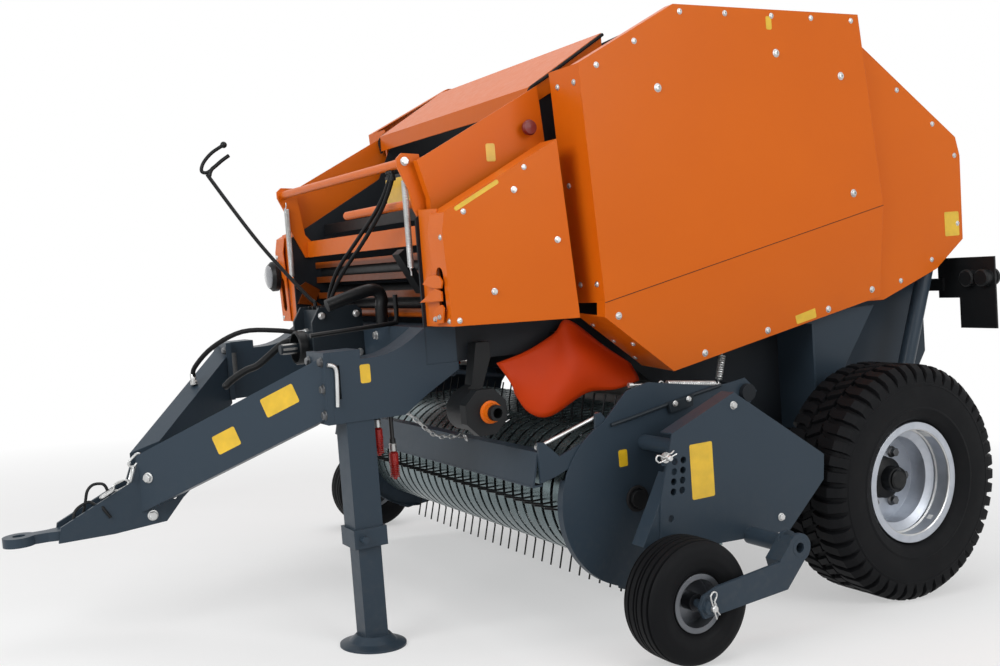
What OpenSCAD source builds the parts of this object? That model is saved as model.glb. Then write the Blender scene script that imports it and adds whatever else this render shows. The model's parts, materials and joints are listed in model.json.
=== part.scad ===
// Towed round baler with a pickup, parked nose-down on its wheels and drawbar jack.
// Sizes are in the machine's own level frame: X forward from the main axle, Y left, Z up
// from the ground under the axle. parked() then leans the whole machine about the axle.

/* [Stance] */
// Outer diameter of the main tyres, over the lugs
wheel_d = 845; // [800:5:880]
// Section width of the main tyres
wheel_w = 290; // [260:5:310]
// Space between the chamber walls and the inner sides of the main tyres
wheel_gap = 221; // [205:1:260]
// Diameter of the main rims over their flanges
rim_d = 430; // [400:5:460]
// Number of lugs on each shoulder of a main tyre
lug_count = 24; // [16:1:30]
// Height of the lugs
lug_h = 16; // [8:1:22]
// Nose-down lean of the parked machine, in degrees
lean = 4.2; // [3.5:0.1:4.8]
// Side of the square axle beam
axle_side = 90; // [70:2:110]
// Diameter of the wheel spindles
spindle_d = 50; // [40:1:60]

/* [Bale chamber] */
// Clear width between the chamber walls
chamber_w = 1200; // [1160:5:1220]
// Bale diameter inside the rollers
bale_d = 1200; // [1170:5:1220]
// Distance of the chamber's middle ahead of the axle
chamber_x = 225; // [215:1:235]
// Height of the chamber's middle
chamber_z = 1330; // [1320:1:1340]
// Diameter of the pressing rollers over their ribs
roller_d = 170; // [140:2:180]
// Number of ribs on each pressing roller
roller_ribs = 10; // [6:1:14]
// Diameter of the rollers' stub shafts
roller_shaft_d = 50; // [30:1:60]
// Thickness of the chamber walls
wall_t = 8; // [5:1:10]
// Distance of the parting line between front half and tailgate ahead of the axle
parting_x = 58; // [50:1:64]
// Gap left open along the parting line
parting_gap = 6; // [5:1:12]

/* [Tailgate] */
// Distance of the tailgate hinge behind the axle
gate_hinge_back = 40; // [30:1:50]
// Height of the tailgate hinge
gate_hinge_z = 2000; // [1990:1:2010]
// Diameter of the tailgate hinge pins
gate_pin_d = 40; // [30:1:46]
// Distance of the tailgate's rear edge behind the axle
gate_back = 660; // [652:1:664]
// Diameter of the lifting cylinders' barrels
ram_barrel_d = 70; // [60:1:76]
// Diameter of the lifting cylinders' rods
ram_rod_d = 40; // [32:1:46]
// Space between the chamber walls and the middle of the lifting cylinders
ram_gap = 134; // [128:1:138]

/* [Shields] */
// Space between the chamber walls and the main shields' faces
shield_gap = 245; // [242:1:260]
// Height of the main shields' top edge
shield_top = 2122; // [2115:1:2140]
// Sheet thickness of the shields and covers
sheet_t = 4; // [2:0.5:6]
// Width of the flanges folded round the shields
flange_w = 45; // [25:1:50]
// Width of the flange down the main shields' front
front_flange_w = 175; // [140:1:185]
// Inward lean of the main shields' lower panels, in degrees
lower_lean = 4; // [2:0.5:4.5]
// Space between the chamber walls and the tailgate shields' faces
gate_shield_gap = 205; // [202:1:208]
// Space between the chamber walls and the front covers' faces
cover_gap = 192; // [184:1:200]
// Space between the chamber walls and the net box cheeks' faces
cheek_gap = 32; // [26:1:40]

/* [Pickup] */
// Distance of the reel's shaft ahead of the axle
reel_x = 1050; // [1040:1:1060]
// Height of the reel's shaft
reel_z = 510; // [500:1:520]
// Radius that the tine tips sweep
tine_r = 331; // [320:1:336]
// Diameter of the tines' wire
tine_d = 7; // [5:0.5:9]
// Half of the width between the outermost tines
tine_half = 828; // [815:1:832]
// Number of tines on each bar
tine_count = 27; // [20:1:30]
// Number of tine bars round the reel
bar_count = 4; // [3:1:5]
// Radius on which the tine bars turn
bar_r = 150; // [120:1:170]
// Diameter of the tine bars
bar_d = 34; // [26:1:40]
// Diameter of the reel's shaft
reel_shaft_d = 60; // [45:1:70]
// Radius of the stripper bands round the reel
band_r = 226; // [215:1:240]
// Width of one stripper band
band_w = 46; // [36:1:50]
// Distance of the pickup's pivot ahead of the axle
lift_x = 560; // [550:1:570]
// Height of the pickup's pivot
lift_z = 800; // [795:1:810]
// Diameter of the pickup's pivot stubs
lift_pin_d = 60; // [46:1:70]

/* [Gauge wheels] */
// Outer diameter of the gauge tyres
gauge_d = 376; // [360:2:390]
// Section width of the gauge tyres
gauge_w = 156; // [140:2:160]
// Diameter of the gauge rims
gauge_rim_d = 176; // [160:2:190]
// Distance of the gauge wheels ahead of the axle
gauge_x = 1137; // [1125:1:1150]
// Diameter of the gauge wheels' axles
gauge_axle_d = 25; // [20:1:30]

/* [Drawbar and jack] */
// Distance of the hitch eye's middle ahead of the axle
eye_x = 2829; // [2800:1:2850]
// Height of the hitch eye in the level machine
eye_z = 545; // [535:1:555]
// Bore of the hitch eye
eye_bore_d = 40; // [36:1:50]
// Outer diameter of the hitch eye
eye_d = 100; // [90:1:110]
// Thickness of the hitch eye
eye_t = 30; // [25:1:36]
// Distance of the cross beam's rear face ahead of the axle
beam_x = 1535; // [1530:1:1545]
// Depth of the cross beam, along the machine
beam_l = 110; // [100:1:120]
// Height of the cross beam's underside
beam_z = 1003; // [1000:1:1010]
// Height of the cross beam
beam_h = 120; // [110:1:130]
// Distance of the drawbar's flanges ahead of the axle
joint_x = 1970; // [1960:1:1980]
// Width of the drawbar's arms
arm_w = 76; // [60:1:90]
// Height of the drawbar's arms
arm_h = 190; // [170:1:200]
// Distance of the jack ahead of the axle
jack_x = 1885; // [1880:1:1890]
// Side of the jack's outer tube
jack_side = 92; // [84:1:98]
// Wall of the jack's outer tube
jack_wall = 8; // [6:0.5:10]
// Diameter of the jack's foot
foot_d = 210; // [180:5:240]

/* [Hidden] */
$fn = 48;

orange = "darkorange";
anthracite = "dimgray";
black = "black";
zinc = "silver";

left = 1;
right = -1;
cut = 1;
run_gap = 0.05;
seat_gap = 0.3;
clear = 6;

wheel_r = wheel_d / 2;
gauge_r = gauge_d / 2;
chamber_half = chamber_w / 2;
wall_out = chamber_half + wall_t;
roller_r = roller_d / 2;
ring_r = bale_d / 2 + roller_r;
gate_hinge_x = -gate_hinge_back;
inner_wheel_y = wall_out + wheel_gap;
wheel_y = inner_wheel_y + wheel_w / 2;
shield_y = wall_out + shield_gap;
gate_shield_y = wall_out + gate_shield_gap;
cover_y = wall_out + cover_gap;
cheek_y = wall_out + cheek_gap;
hood_half = wall_out + 12;
ram_y = wall_out + ram_gap;
pickup_y = tine_half + 34;
wheel_plate_y = pickup_y + 223;
gauge_y = wheel_plate_y + 120;
front_x = beam_x + beam_l;
beam_top = beam_z + beam_h;

// Height, in the level machine, of a point at x that stands h above the ground when parked
function over_ground(x, h) = wheel_r + (h - wheel_r + sin(lean) * x) / cos(lean);

// Place along the ground of a point of the level machine when parked
function parked_x(x, z) = cos(lean) * x + sin(lean) * (z - wheel_r);

// Points of a ring of rollers round the chamber's middle
function ring_point(a) = [chamber_x + ring_r * cos(a), chamber_z + ring_r * sin(a)];

lamp_back = 694;
lamp_z = 1110;
lamp_d = 66;
nose_x = parked_x(eye_x + eye_d / 2, eye_z + eye_t / 2);
tail_x = parked_x(-lamp_back, lamp_z - lamp_d / 2);
middle_shift = -(nose_x + tail_x) / 2;

module parked() {
    translate([middle_shift, 0, wheel_r]) rotate([0, lean, 0]) translate([0, 0, -wheel_r]) children();
}

// The left piece is drawn, the right one is its mirror image
module on_side(side) {
    if (side == left) children();
    else mirror([0, 1, 0]) children();
}

// A plate across the machine, from y to y + t, with its outline in X and Z
module plate(outline, y, t) {
    translate([0, y + t, 0]) rotate([90, 0, 0]) linear_extrude(t) polygon(outline);
}

// A round bar across the machine from y to y + l
module bar(x, z, d, y, l) {
    translate([x, y + l, z]) rotate([90, 0, 0]) cylinder(d = d, h = l);
}

// A box given by its low corner and its high corner
module block(low, high) {
    translate(low) cube(high - low);
}

// A strip of sheet across the machine that follows the edge from a to b
module strip(a, b, t, y, l) {
    n = unit([b[1] - a[1], a[0] - b[0]]);
    plate([a, b, b + t * n, a + t * n], y, l);
}

// A sheet pan: a face with a flange folded inwards all round its outline
module pan(outline, y, depth) {
    difference() {
        plate(outline, y - depth, depth);
        translate([0, y - sheet_t, 0]) rotate([90, 0, 0])
            linear_extrude(depth) offset(delta = -sheet_t) polygon(outline);
    }
}

function unit(v) = v / norm(v);
function heading(p, i) = unit(p[min(i + 1, len(p) - 1)] - p[max(i - 1, 0)]);

// A round tube of eight sides swept along a route; aside is never along the route
module swept(route, d, aside) {
    sides = 8;
    last = len(route) - 1;
    rings = [
        for (i = [0 : last])
            let (t = heading(route, i), n = unit(cross(aside, t)), b = cross(t, n))
                for (k = [0 : sides - 1])
                    route[i] + d / 2 * (cos(k * 360 / sides) * n + sin(k * 360 / sides) * b)
    ];
    walls = [
        for (i = [0 : last - 1], k = [0 : sides - 1])
            let (a = i * sides + k, b = i * sides + (k + 1) % sides)
                [a, a + sides, b + sides, b]
    ];
    ends = [[for (k = [0 : sides - 1]) k], [for (k = [sides - 1 : -1 : 0]) last * sides + k]];
    polyhedron(rings, concat(walls, ends));
}

// Axle: square beam, spindles, gusset plates and the ears that carry the lifting cylinders
ram_foot = [-262, 455];
ram_head = [-615, 1400];
ear_t = 10;
ear_r = 40;
ram_pin_d = 36;
gusset_y = wall_out + 148;
gusset_t = 8;
spindle_end = wheel_y + 20;

module axle_beam() {
    ear_ys = [ram_y - ram_barrel_d / 2 - clear - ear_t, ram_y + ram_barrel_d / 2 + clear];
    color(anthracite) parked() {
        translate([0, 0, wheel_r]) cube([axle_side, 2 * inner_wheel_y - 2 * clear, axle_side],
                                        center = true);
        for (side = [left, right]) on_side(side) {
            bar(0, wheel_r, spindle_d, inner_wheel_y - 2 * clear, spindle_end - inner_wheel_y + 2 * clear);
            for (y = ear_ys)
                plate([[-axle_side / 2 + 5, wheel_r - 30], [-axle_side / 2 + 5, wheel_r + 40],
                       [ram_foot[0], ram_foot[1] + ear_r], [ram_foot[0] - ear_r, ram_foot[1]],
                       [ram_foot[0], ram_foot[1] - ear_r]], y, ear_t);
            bar(ram_foot[0], ram_foot[1], ram_pin_d, ear_ys[0], ear_ys[1] + ear_t - ear_ys[0]);
            plate([[axle_side / 2, wheel_r], [160, 560], [160, 1040], [-200, 1040], [-15, 803],
                   [-25, wheel_r]],
                  gusset_y, gusset_t);
            block([152, wall_out, 600], [160, gusset_y + gusset_t + 30, 1000]);
        }
    }
}

// Chamber walls of the front half, with the stubs for tailgate, pickup and springs
inlet_low = [650, 830];
inlet_lip = [760, 840];
inlet_high = [960, 1000];
spring_hook = [555, 955];
spring_y = wall_out + 152;

module chamber_wall() {
    plate([
        [-axle_side / 2, wheel_r + axle_side / 2], [140, wheel_r + axle_side / 2], [330, 560],
        [520, 600], [620, 720], inlet_low, inlet_lip, inlet_high, [1060, beam_z], [beam_x, beam_z],
        [beam_x, beam_top], [front_x, beam_top], [front_x, 1470], [1230, 1700],
        [1130, 1912], [894, 2035], [780, 2080], [300, 2085], [gate_hinge_x, gate_hinge_z + 50],
        [gate_hinge_x - 45, gate_hinge_z], [gate_hinge_x, gate_hinge_z - 50],
        [parting_x + parting_gap / 2, gate_hinge_z - 50], [parting_x + parting_gap / 2, 590],
        [-axle_side / 2, 560]
    ], chamber_half, wall_t);
    bar(gate_hinge_x, gate_hinge_z, gate_pin_d, wall_out - cut, 40 + cut);
    bar(lift_x, lift_z, lift_pin_d, wall_out - cut, pickup_y + 24 - wall_out + cut);
    bar(spring_hook[0], spring_hook[1], 20, wall_out - cut, spring_y + 15 - wall_out + cut);
}

module left_chamber_wall() { color(anthracite) parked() on_side(left) chamber_wall(); }
module right_chamber_wall() { color(anthracite) parked() on_side(right) chamber_wall(); }

// Pressing rollers, ribbed drums on stub shafts
front_slots = [-90, -67.5, -22.5, 0, 22.5, 45, 67.5, 90];
gate_slots = [112.5, 135, 157.5, 180, 202.5, 225, 247.5];
roller_end_gap = 8;
rib_h = 11;
rib_w = 14;

module roller_outline() {
    circle(r = roller_r - rib_h);
    for (k = [0 : roller_ribs - 1]) rotate(k * 360 / roller_ribs)
        translate([0, -rib_w / 2]) square([sqrt(roller_r * roller_r - rib_w * rib_w / 4), rib_w]);
}

module rollers(slots) {
    for (a = slots) {
        p = ring_point(a);
        translate([p[0], chamber_half - roller_end_gap, p[1]]) rotate([90, 0, 0])
            linear_extrude(chamber_w - 2 * roller_end_gap) roller_outline();
        bar(p[0], p[1], roller_shaft_d, -chamber_half, chamber_w);
    }
}

module chamber_rollers() { color(zinc) parked() rollers(front_slots); }
module gate_rollers() { color(zinc) parked() rollers(gate_slots); }

// Main side shields: a flat upper panel, a lower panel that leans inwards and flanges down the front
shield_front_high = [1155, shield_top - 202];
shield_top_front = [761, shield_top];
shield_top_rear = [-97, shield_top];
crease_rear = [-181, 1418];
crease_front = [1112, 1157];
shield_low_front = [1114, 1110];
shield_low = [836, 902];
shield_low_rear = [-166, 1075];
shield_posts = [[950, 1750], [150, 1950], [900, 1260], [120, 1420]];
post_d = 30;

crease_run = crease_front - crease_rear;
crease_lap = 3 * unit([-crease_run[1], crease_run[0]]);
crease_inset = 0.5;

module about_crease() {
    fold = atan2(-crease_run[1], crease_run[0]);
    translate([crease_front[0], shield_y - crease_inset, crease_front[1]]) rotate([0, fold, 0])
        rotate([-lower_lean, 0, 0]) rotate([0, -fold, 0])
            translate([-crease_front[0], 0, -crease_front[1]]) children();
}

module main_shield() {
    difference() {
        union() {
            pan([crease_front, shield_front_high, shield_top_front, shield_top_rear, crease_rear],
                shield_y, flange_w);
            about_crease() {
                pan([crease_front + crease_lap, crease_rear + crease_lap, shield_low_rear, shield_low,
                     shield_low_front], 0, flange_w);
                strip(shield_low_front, shield_low, sheet_t, -front_flange_w, front_flange_w);
            }
        }
        block([-400, 0, 0], [-60, gate_shield_y + clear, 3000]);
    }
    strip(shield_front_high, crease_front, sheet_t, shield_y - front_flange_w, front_flange_w);
    for (p = shield_posts) bar(p[0], p[1], post_d, wall_out, shield_y - sheet_t + cut - wall_out);
}

module left_main_shield() { color(orange) parked() on_side(left) main_shield(); }
module right_main_shield() { color(orange) parked() on_side(right) main_shield(); }

// Lower front covers, with a hand slot in the front flange
cover_outline = [[1177, 1114], [1640, 1128], [1650, 1420], [1640, 1475], [1220, 1690]];
cover_flange = 100;
hand_slot = [1170, 1310];
hand_slot_w = 46;

module lower_cover() {
    slot_y = cover_y - cover_flange / 2;
    difference() {
        pan(cover_outline, cover_y, cover_flange);
        block([1600, slot_y - hand_slot_w / 2, hand_slot[0] + hand_slot_w / 2],
              [1700, slot_y + hand_slot_w / 2, hand_slot[1] - hand_slot_w / 2]);
        for (z = [hand_slot[0] + hand_slot_w / 2, hand_slot[1] - hand_slot_w / 2])
            translate([1600, slot_y, z]) rotate([0, 90, 0]) cylinder(d = hand_slot_w, h = 100);
    }
    for (p = [[1300, 1250], [1550, 1330]]) bar(p[0], p[1], post_d, wall_out,
                                               cover_y - sheet_t + cut - wall_out);
}

module left_lower_cover() { color(orange) parked() on_side(left) lower_cover(); }
module right_lower_cover() { color(orange) parked() on_side(right) lower_cover(); }

// Cheeks of the net box, with a folded front edge
cheek_low_front = [1590, 1480];
cheek_high_front = [1640, 1650];

module cheek() {
    plate([cheek_low_front, cheek_high_front, [1610, 1664], [1180, 1885], [1165, 1700]],
          cheek_y - sheet_t, sheet_t);
    strip(cheek_high_front, cheek_low_front, sheet_t, wall_out + 2, cheek_gap - 2);
    block([1590, wall_out, 1440], [1604, cheek_y, 1560]);
}

module left_cheek() { color(orange) parked() on_side(left) cheek(); }
module right_cheek() { color(orange) parked() on_side(right) cheek(); }

// Hood behind the net box: a sloping roof with a lip folded down along its front
hood_front = [1203, 1882];
hood_rear = [894, 2071];
hood_lip = 62;

module hood_profile() {
    outline = [hood_rear, hood_front, hood_front - [0, hood_lip], [hood_rear[0], hood_front[1] - hood_lip]];
    difference() {
        polygon(outline);
        translate([-sheet_t, -sheet_t / 2]) polygon(outline);
    }
}

module hood() {
    color(orange) parked() {
        translate([0, hood_half, 0]) rotate([90, 0, 0]) linear_extrude(2 * hood_half) hood_profile();
        for (side = [left, right]) on_side(side) {
            plate([hood_front, hood_rear, hood_rear - [0, hood_lip + 30], hood_front - [0, hood_lip]],
                  hood_half - sheet_t, sheet_t);
            block([950, wall_out, 1965], [990, hood_half - sheet_t + cut, 1985]);
        }
    }
}

// Net box: tubes, beam and slats between the walls
net_top = [1664, 1647];
net_mid = [1625, 1520];
net_low = [1562, 1162];
net_beam = [1560, 1388];
net_beam_h = 64;
net_tube_d = 30;
net_plate_t = 10;
slat_zs = [1215, 1280, 1340];

module net_frame() {
    color(orange) parked() {
        bar(net_top[0], net_top[1], net_tube_d, -chamber_half, chamber_w);
        bar(net_mid[0], net_mid[1], net_tube_d, -15, chamber_half + 15);
        bar(net_low[0], net_low[1], net_tube_d, -chamber_half, chamber_w);
        block([net_beam[0], -chamber_half, net_beam[1]],
              [net_beam[0] + 20, chamber_half, net_beam[1] + net_beam_h]);
        for (z = slat_zs) block([1536, -chamber_half, z], [1548, chamber_half, z + 24]);
        for (side = [left, right]) on_side(side) {
            plate([[1560, 1388], [1590, 1388], [1645, 1500], [1655, 1560], [1690, 1635], [1690, 1660],
                   [1672, 1676],
                   [1612, 1672], [1585, 1480], [1560, 1452]], chamber_half - net_plate_t, net_plate_t);
            plate([[1540, 1250], [1600, 1288], [1640, 1265], [1615, 1245], [1640, 1201], [1570, 1190]],
                  chamber_half - net_plate_t, net_plate_t);
            plate([[1537, 1135], [1537, 1185], [1562, 1205], [1587, 1185], [1592, 1135]],
                  chamber_half - net_plate_t, net_plate_t);
        }
    }
}

spring_d = 22;

module net_springs() {
    color(zinc) parked() for (side = [left, right]) on_side(side)
        translate([1660, chamber_half - net_plate_t - spring_d / 2 - seat_gap,
                   1290]) cylinder(d = spring_d, h = 325);
}

// Net rollers, the panel behind the tubes and the black handle
net_panel = [60, 1478, 1650];

module net_rollers() {
    color(black) parked() {
        bar(1480, 1320, 90, -chamber_half, chamber_w);
        bar(1460, 1220, 90, -chamber_half, chamber_w);
        block([1490, net_panel[0], net_panel[1]], [1496, chamber_half, net_panel[2]]);
        block([1490, -chamber_half, net_panel[1]], [1496, chamber_half, net_panel[1] + 40]);
        plate([[1548.3, 1228], [1572, 1228], [1648, 1362], [1626, 1378]], 410, 55);
    }
}

// Cross beam, with the comb that holds the crop down behind the windguard
comb_shaft = [1490, 957];
comb_y = 440;
comb_count = 9;
comb_w = 36;

module cross_beam() {
    color(anthracite) parked() {
        block([beam_x, -wall_out, beam_z], [front_x, wall_out, beam_top]);
        bar(comb_shaft[0], comb_shaft[1], 30, -comb_y - 40, 2 * comb_y + 80);
        for (y = [-comb_y - 40, comb_y + 28])
            plate([[comb_shaft[0] - 15, comb_shaft[1]], [comb_shaft[0] + 15, comb_shaft[1]],
                   [beam_x + 40, beam_z + cut], [beam_x, beam_z + cut]], y, 12);
        for (i = [0 : comb_count - 1])
            plate([[comb_shaft[0], 966], [comb_shaft[0], 950], [1292, 915], [1285, 925]],
                  -comb_y + i * 2 * comb_y / (comb_count - 1) - comb_w / 2, comb_w);
    }
}

// Goosenecks that reach down from the cross beam to the drawbar, their top edge a hollow curve
goose_t = 110;
goose_out = wall_out + 2;
goose_low = 855;
goose_high = 1077;
goose_slot_x = 1950;
goose_slot = [930, 1035];
goose_slot_w = 18;

module gooseneck() {
    curve_from = [1870, 1048];
    curve_to = [front_x, beam_top];
    sag = 26;
    steps = 8;
    curve = [for (i = [0 : steps]) let (t = i / steps)
             curve_from + t * (curve_to - curve_from) - [0, sag * sin(180 * t)]];
    difference() {
        plate(concat([[joint_x, goose_low], [joint_x, goose_high], [1870, goose_high]], curve,
                     [[front_x, beam_z], [1532, beam_z], [1532, 978], [1648, 912], [1734, goose_low]]),
              goose_out - goose_t, goose_t);
        block([goose_slot_x - goose_slot_w / 2, 0, goose_slot[0]],
              [goose_slot_x + goose_slot_w / 2, 2000, goose_slot[1]]);
    }
}

module left_gooseneck() { color(anthracite) parked() on_side(left) gooseneck(); }
module right_gooseneck() { color(anthracite) parked() on_side(right) gooseneck(); }

// Drawbar: two box arms that meet at the hitch plates
hitch_half = 38;
hitch_t = 12;
arm_rear = [goose_out - 65, 960];
arm_front = [2400, 55, 690];
joint_t = 20;
hitch_holes = [[2433, 722, 20], [2345, 612, 18]];

arm_run = [arm_front[0] - joint_x, arm_front[1] - arm_rear[0]];
arm_reach = norm(arm_run);
arm_fall = (arm_front[2] - arm_rear[1]) / arm_reach;

// Middle of a drawbar arm at x
function arm_at(x) = let (t = (x - joint_x) / (arm_front[0] - joint_x))
    [x, arm_rear[0] + t * (arm_front[1] - arm_rear[0]), arm_rear[1] + t * (arm_front[2] - arm_rear[1])];

module drawbar_arm() {
    over = 120;
    difference() {
        translate([joint_x, arm_rear[0], 0]) rotate([0, 0, atan2(arm_run[1], arm_run[0])])
            plate([for (p = [[-over, -1], [arm_reach + over, -1], [arm_reach + over, 1], [-over, 1]])
                   [p[0], arm_rear[1] + arm_fall * p[0] + p[1] * arm_h / 2]], -arm_w / 2, arm_w);
        block([0, -2000, 0], [joint_x + joint_t / 2, 2000, 2000]);
        block([0, -2000, 0], [4000, hitch_half + hitch_t / 2, 2000]);
    }
    block([joint_x, goose_out - 150, goose_low], [joint_x + joint_t, goose_out, goose_high]);
}

module drawbar() {
    color(anthracite) parked()
        for (side = [left, right]) on_side(side) {
            drawbar_arm();
            difference() {
                plate([[2284, 795], [2220, 690], [2318, 605], [2378, 536], [2547, 523], [2719, 523],
                       [2708, 573],
                       [2478, 684], [2455, 745], [2410, 750]], hitch_half, hitch_t);
                for (h = hitch_holes) bar(h[0], h[1], h[2], 0, 200);
            }
        }
}

module hitch_eye() {
    neck = 52;
    shank = [2520, 2710];
    color(anthracite) parked() difference() {
        union() {
            translate([eye_x, 0, eye_z - eye_t / 2]) cylinder(d = eye_d, h = eye_t);
            block([shank[0], -hitch_half, eye_z - eye_t / 2], [shank[1], hitch_half, eye_z + eye_t / 2]);
            translate([0, 0, eye_z - eye_t / 2]) linear_extrude(eye_t)
                polygon([[shank[1] - cut, -hitch_half], [shank[1] - cut, hitch_half], [2745, neck / 2],
                         [eye_x, neck / 2],
                         [eye_x, -neck / 2], [2745, -neck / 2]]);
        }
        translate([eye_x, 0, eye_z - eye_t]) cylinder(d = eye_bore_d, h = 2 * eye_t);
    }
}

// Jack: a square outer tube under the left gooseneck, a clamp at its end and a leg that slides in it
jack_y = goose_out - jack_side / 2 - 4;
jack_bottom = 460;
clamp_h = 60;
clamp_over = 9;
leg_side = jack_side - 2 * jack_wall - 2 * seat_gap;
foot_h = 36;

module jack_tube() {
    half = jack_side / 2;
    color(anthracite) parked() difference() {
        union() {
            block([jack_x - half, jack_y - half, jack_bottom], [jack_x + half, jack_y + half, goose_low]);
            block([jack_x - half - clamp_over, jack_y - half - clamp_over, jack_bottom],
                  [jack_x + half + clamp_over, jack_y + half + clamp_over, jack_bottom + clamp_h]);
            bar(jack_x + half - 20, jack_bottom + clamp_h / 2, 22, jack_y + half, 34);
        }
        block([jack_x - half + jack_wall, jack_y - half + jack_wall, jack_bottom - cut],
              [jack_x + half - jack_wall, jack_y + half - jack_wall, goose_low - 10]);
    }
}

module jack_leg() {
    foot_x = parked_x(jack_x, over_ground(jack_x, 0));
    color(anthracite) {
        translate([foot_x + middle_shift, jack_y, 0])
            rotate_extrude() polygon([[0, 0], [foot_d / 2, 0], [foot_d / 2, 7], [foot_d * 0.36, 15],
                                      [foot_d * 0.26, foot_h],
                                      [0, foot_h]]);
        parked() block([jack_x - leg_side / 2, jack_y - leg_side / 2, over_ground(jack_x, foot_h / 2)],
                       [jack_x + leg_side / 2, jack_y + leg_side / 2, goose_low - 260]);
    }
}

// Gearbox on the cross beam, between two cheek plates, with the splined input shaft
pto_d = 34.9;
pto_z = 1060;
box_l = 150;
box_half = 90;
box_top = 1190;

module gearbox() {
    color(black) parked() {
        block([front_x, -box_half, 1010], [front_x + box_l, box_half, box_top]);
        for (side = [left, right]) on_side(side)
            plate([[front_x, 1010], [front_x + 190, 1010], [front_x + 190, 1150], [front_x + 160, 1200],
                   [front_x + 20, 1200], [front_x, 1180]], box_half - cut, 12 + cut);
        translate([front_x + box_l, 0, pto_z]) rotate([0, 90, 0]) cylinder(d = 110, h = 40);
        translate([front_x + box_l, 0, pto_z]) rotate([0, 90, 0]) cylinder(d = pto_d, h = 130);
    }
}

// Rod with a hook for the hoses, the bent tube beside the gearbox and the thin stay in front of it
rod_foot = [1760, -60, box_top + seat_gap];
bent_d = 44;
stay_d = 16;

module hose_rod() {
    color(black) parked() {
        swept([rod_foot, rod_foot + [0, 0, 25], [1920, -140, 1440], [2065, -200, 1692], [2075, -200, 1730],
               [2040, -200, 1735], [2000, -200, 1765], [1995, -200, 1809]], 14, [0, 1, 0]);
        swept([[1612, 200, beam_top + seat_gap], [1612, 200, 1180], [1608, 200, 1215],
               [1620, 200, 1240], [1650, 200, 1248],
               [1720, 195, 1232], [1808, 190, 1206]], bent_d, [0, 1, 0]);
        swept([[1618, 340, 1228], [1618, 340, 1155], [1624, 340, 1138],
               [1645, 340, beam_top + stay_d / 2 + seat_gap],
               [1930, 340, 1118]], stay_d, [0, 1, 0]);
    }
}

// Chain case and its stub on the left, in front of the pickup
case_mid = [1545, 853];
case_r = 77;
stub_d = 50;

module chain_case() {
    color(black) parked() {
        case_y = wall_out + 82;
        translate([case_mid[0], case_y + 110, case_mid[1]]) rotate([90, 22.5, 0])
            cylinder(r = case_r, h = 40, $fn = 8);
        bar(case_mid[0], case_mid[1], 2 * case_r - 24, case_y - 40, 120);
        plate([[1440, 1060], [1440, 1010], [1490, 880], [1560, 880], [1560, 905], [1515, 925],
               [1490, 1060]],
              wall_out, 50);
        difference() {
            bar(case_mid[0] - 12, case_mid[1], stub_d, case_y + 105, 55);
            bar(case_mid[0] - 12, case_mid[1], stub_d - 18, case_y + 115, 60);
        }
    }
}

// Round lamp beside the right front cover
front_lamp_d = 126;

module front_lamp() {
    color(black) parked() translate([1649, -cover_y - 12, 1320]) rotate([0, 90, 0]) {
        cylinder(d = front_lamp_d, h = 20);
        translate([0, 0, 19]) cylinder(d1 = front_lamp_d, d2 = front_lamp_d - 24, h = 14);
    }
}

// Flexible aprons that close the inlet beside the pickup: a bulging sheet between two edges
apron_top = [[1415, 985], [1300, 1012], [1188, 1046], [1140, 1065], [985, 950], [880, 880]];
apron_low = [[1360, 880], [1330, 815], [1262, 797], [1110, 854], [985, 850], [872, 866]];
apron_rows = 5;
apron_t = 5;
apron_y = wall_out + 40;
apron_bulge = 60;

module apron() {
    n = len(apron_top);
    function place(i, j, out) =
        let (v = j / apron_rows, p = (1 - v) * apron_top[i] + v * apron_low[i],
             mid = sin(180 * i / (n - 1)))
            [p[0], apron_y + out + apron_bulge * (0.35 + 0.65 * mid) * sin(100 * v), p[1]];
    points = [for (out = [0, apron_t], j = [0 : apron_rows], i = [0 : n - 1]) place(i, j, out)];
    back = n * (apron_rows + 1);
    inner = [for (j = [0 : apron_rows - 1], i = [0 : n - 2]) let (a = j * n + i)
             each [[a, a + n, a + 1], [a + 1, a + n, a + n + 1]]];
    outer = [for (f = inner) [f[2] + back, f[1] + back, f[0] + back]];
    edge = concat([for (i = [0 : n - 1]) i], [for (j = [1 : apron_rows]) j * n + n - 1],
                  [for (i = [n - 2 : -1 : 0]) apron_rows * n + i],
                      [for (j = [apron_rows - 1 : -1 : 1]) j * n]);
    rim = [for (k = [0 : len(edge) - 1]) let (a = edge[k], b = edge[(k + 1) % len(edge)])
           each [[a, b, b + back], [a, b + back, a + back]]];
    polyhedron(points, concat(inner, outer, rim));
    block([1150, wall_out, 1010], [1180, apron_y + apron_t, 1040]);
}

module left_apron() { color(orange) parked() on_side(left) apron(); }
module right_apron() { color(orange) parked() on_side(right) apron(); }

// Hoses that are held at both ends, and the couplings that hang under the left gooseneck
hose_d = 18;
hose_end_x = 2155;

module drawbar_hose() {
    land = arm_at(hose_end_x);
    end = [land[0], -land[1], land[2] + arm_h / 2 - arm_fall * hose_d / 2 + seat_gap];
    color(black) parked()
        swept([[front_x + box_l + seat_gap, -60, 1110], [1830, -60, 1110], [1900, -80, 1125],
               [2010, -150, 1130],
               [2100, -235, 1080], end + [-5, 12, 65], end + [0, 0, 25], end], hose_d, [0.6, 1, 0]);
}

module net_hoses() {
    color(black) parked()
        for (y = [0, 24])
            swept([[net_top[0], 470 + y, net_top[1] - net_tube_d / 2 - seat_gap],
                   [net_top[0], 468 + y, 1600],
                   [1680, 400 + y, 1520], [1695, 250 + y, 1430], [1720, 100 + y, 1330],
                       [1740, 50 + y, 1250],
                   [1740, 40 + y, 1215], [1740, 40 + y, box_top + seat_gap]], 14, [1, 0, 0]);
}

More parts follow.
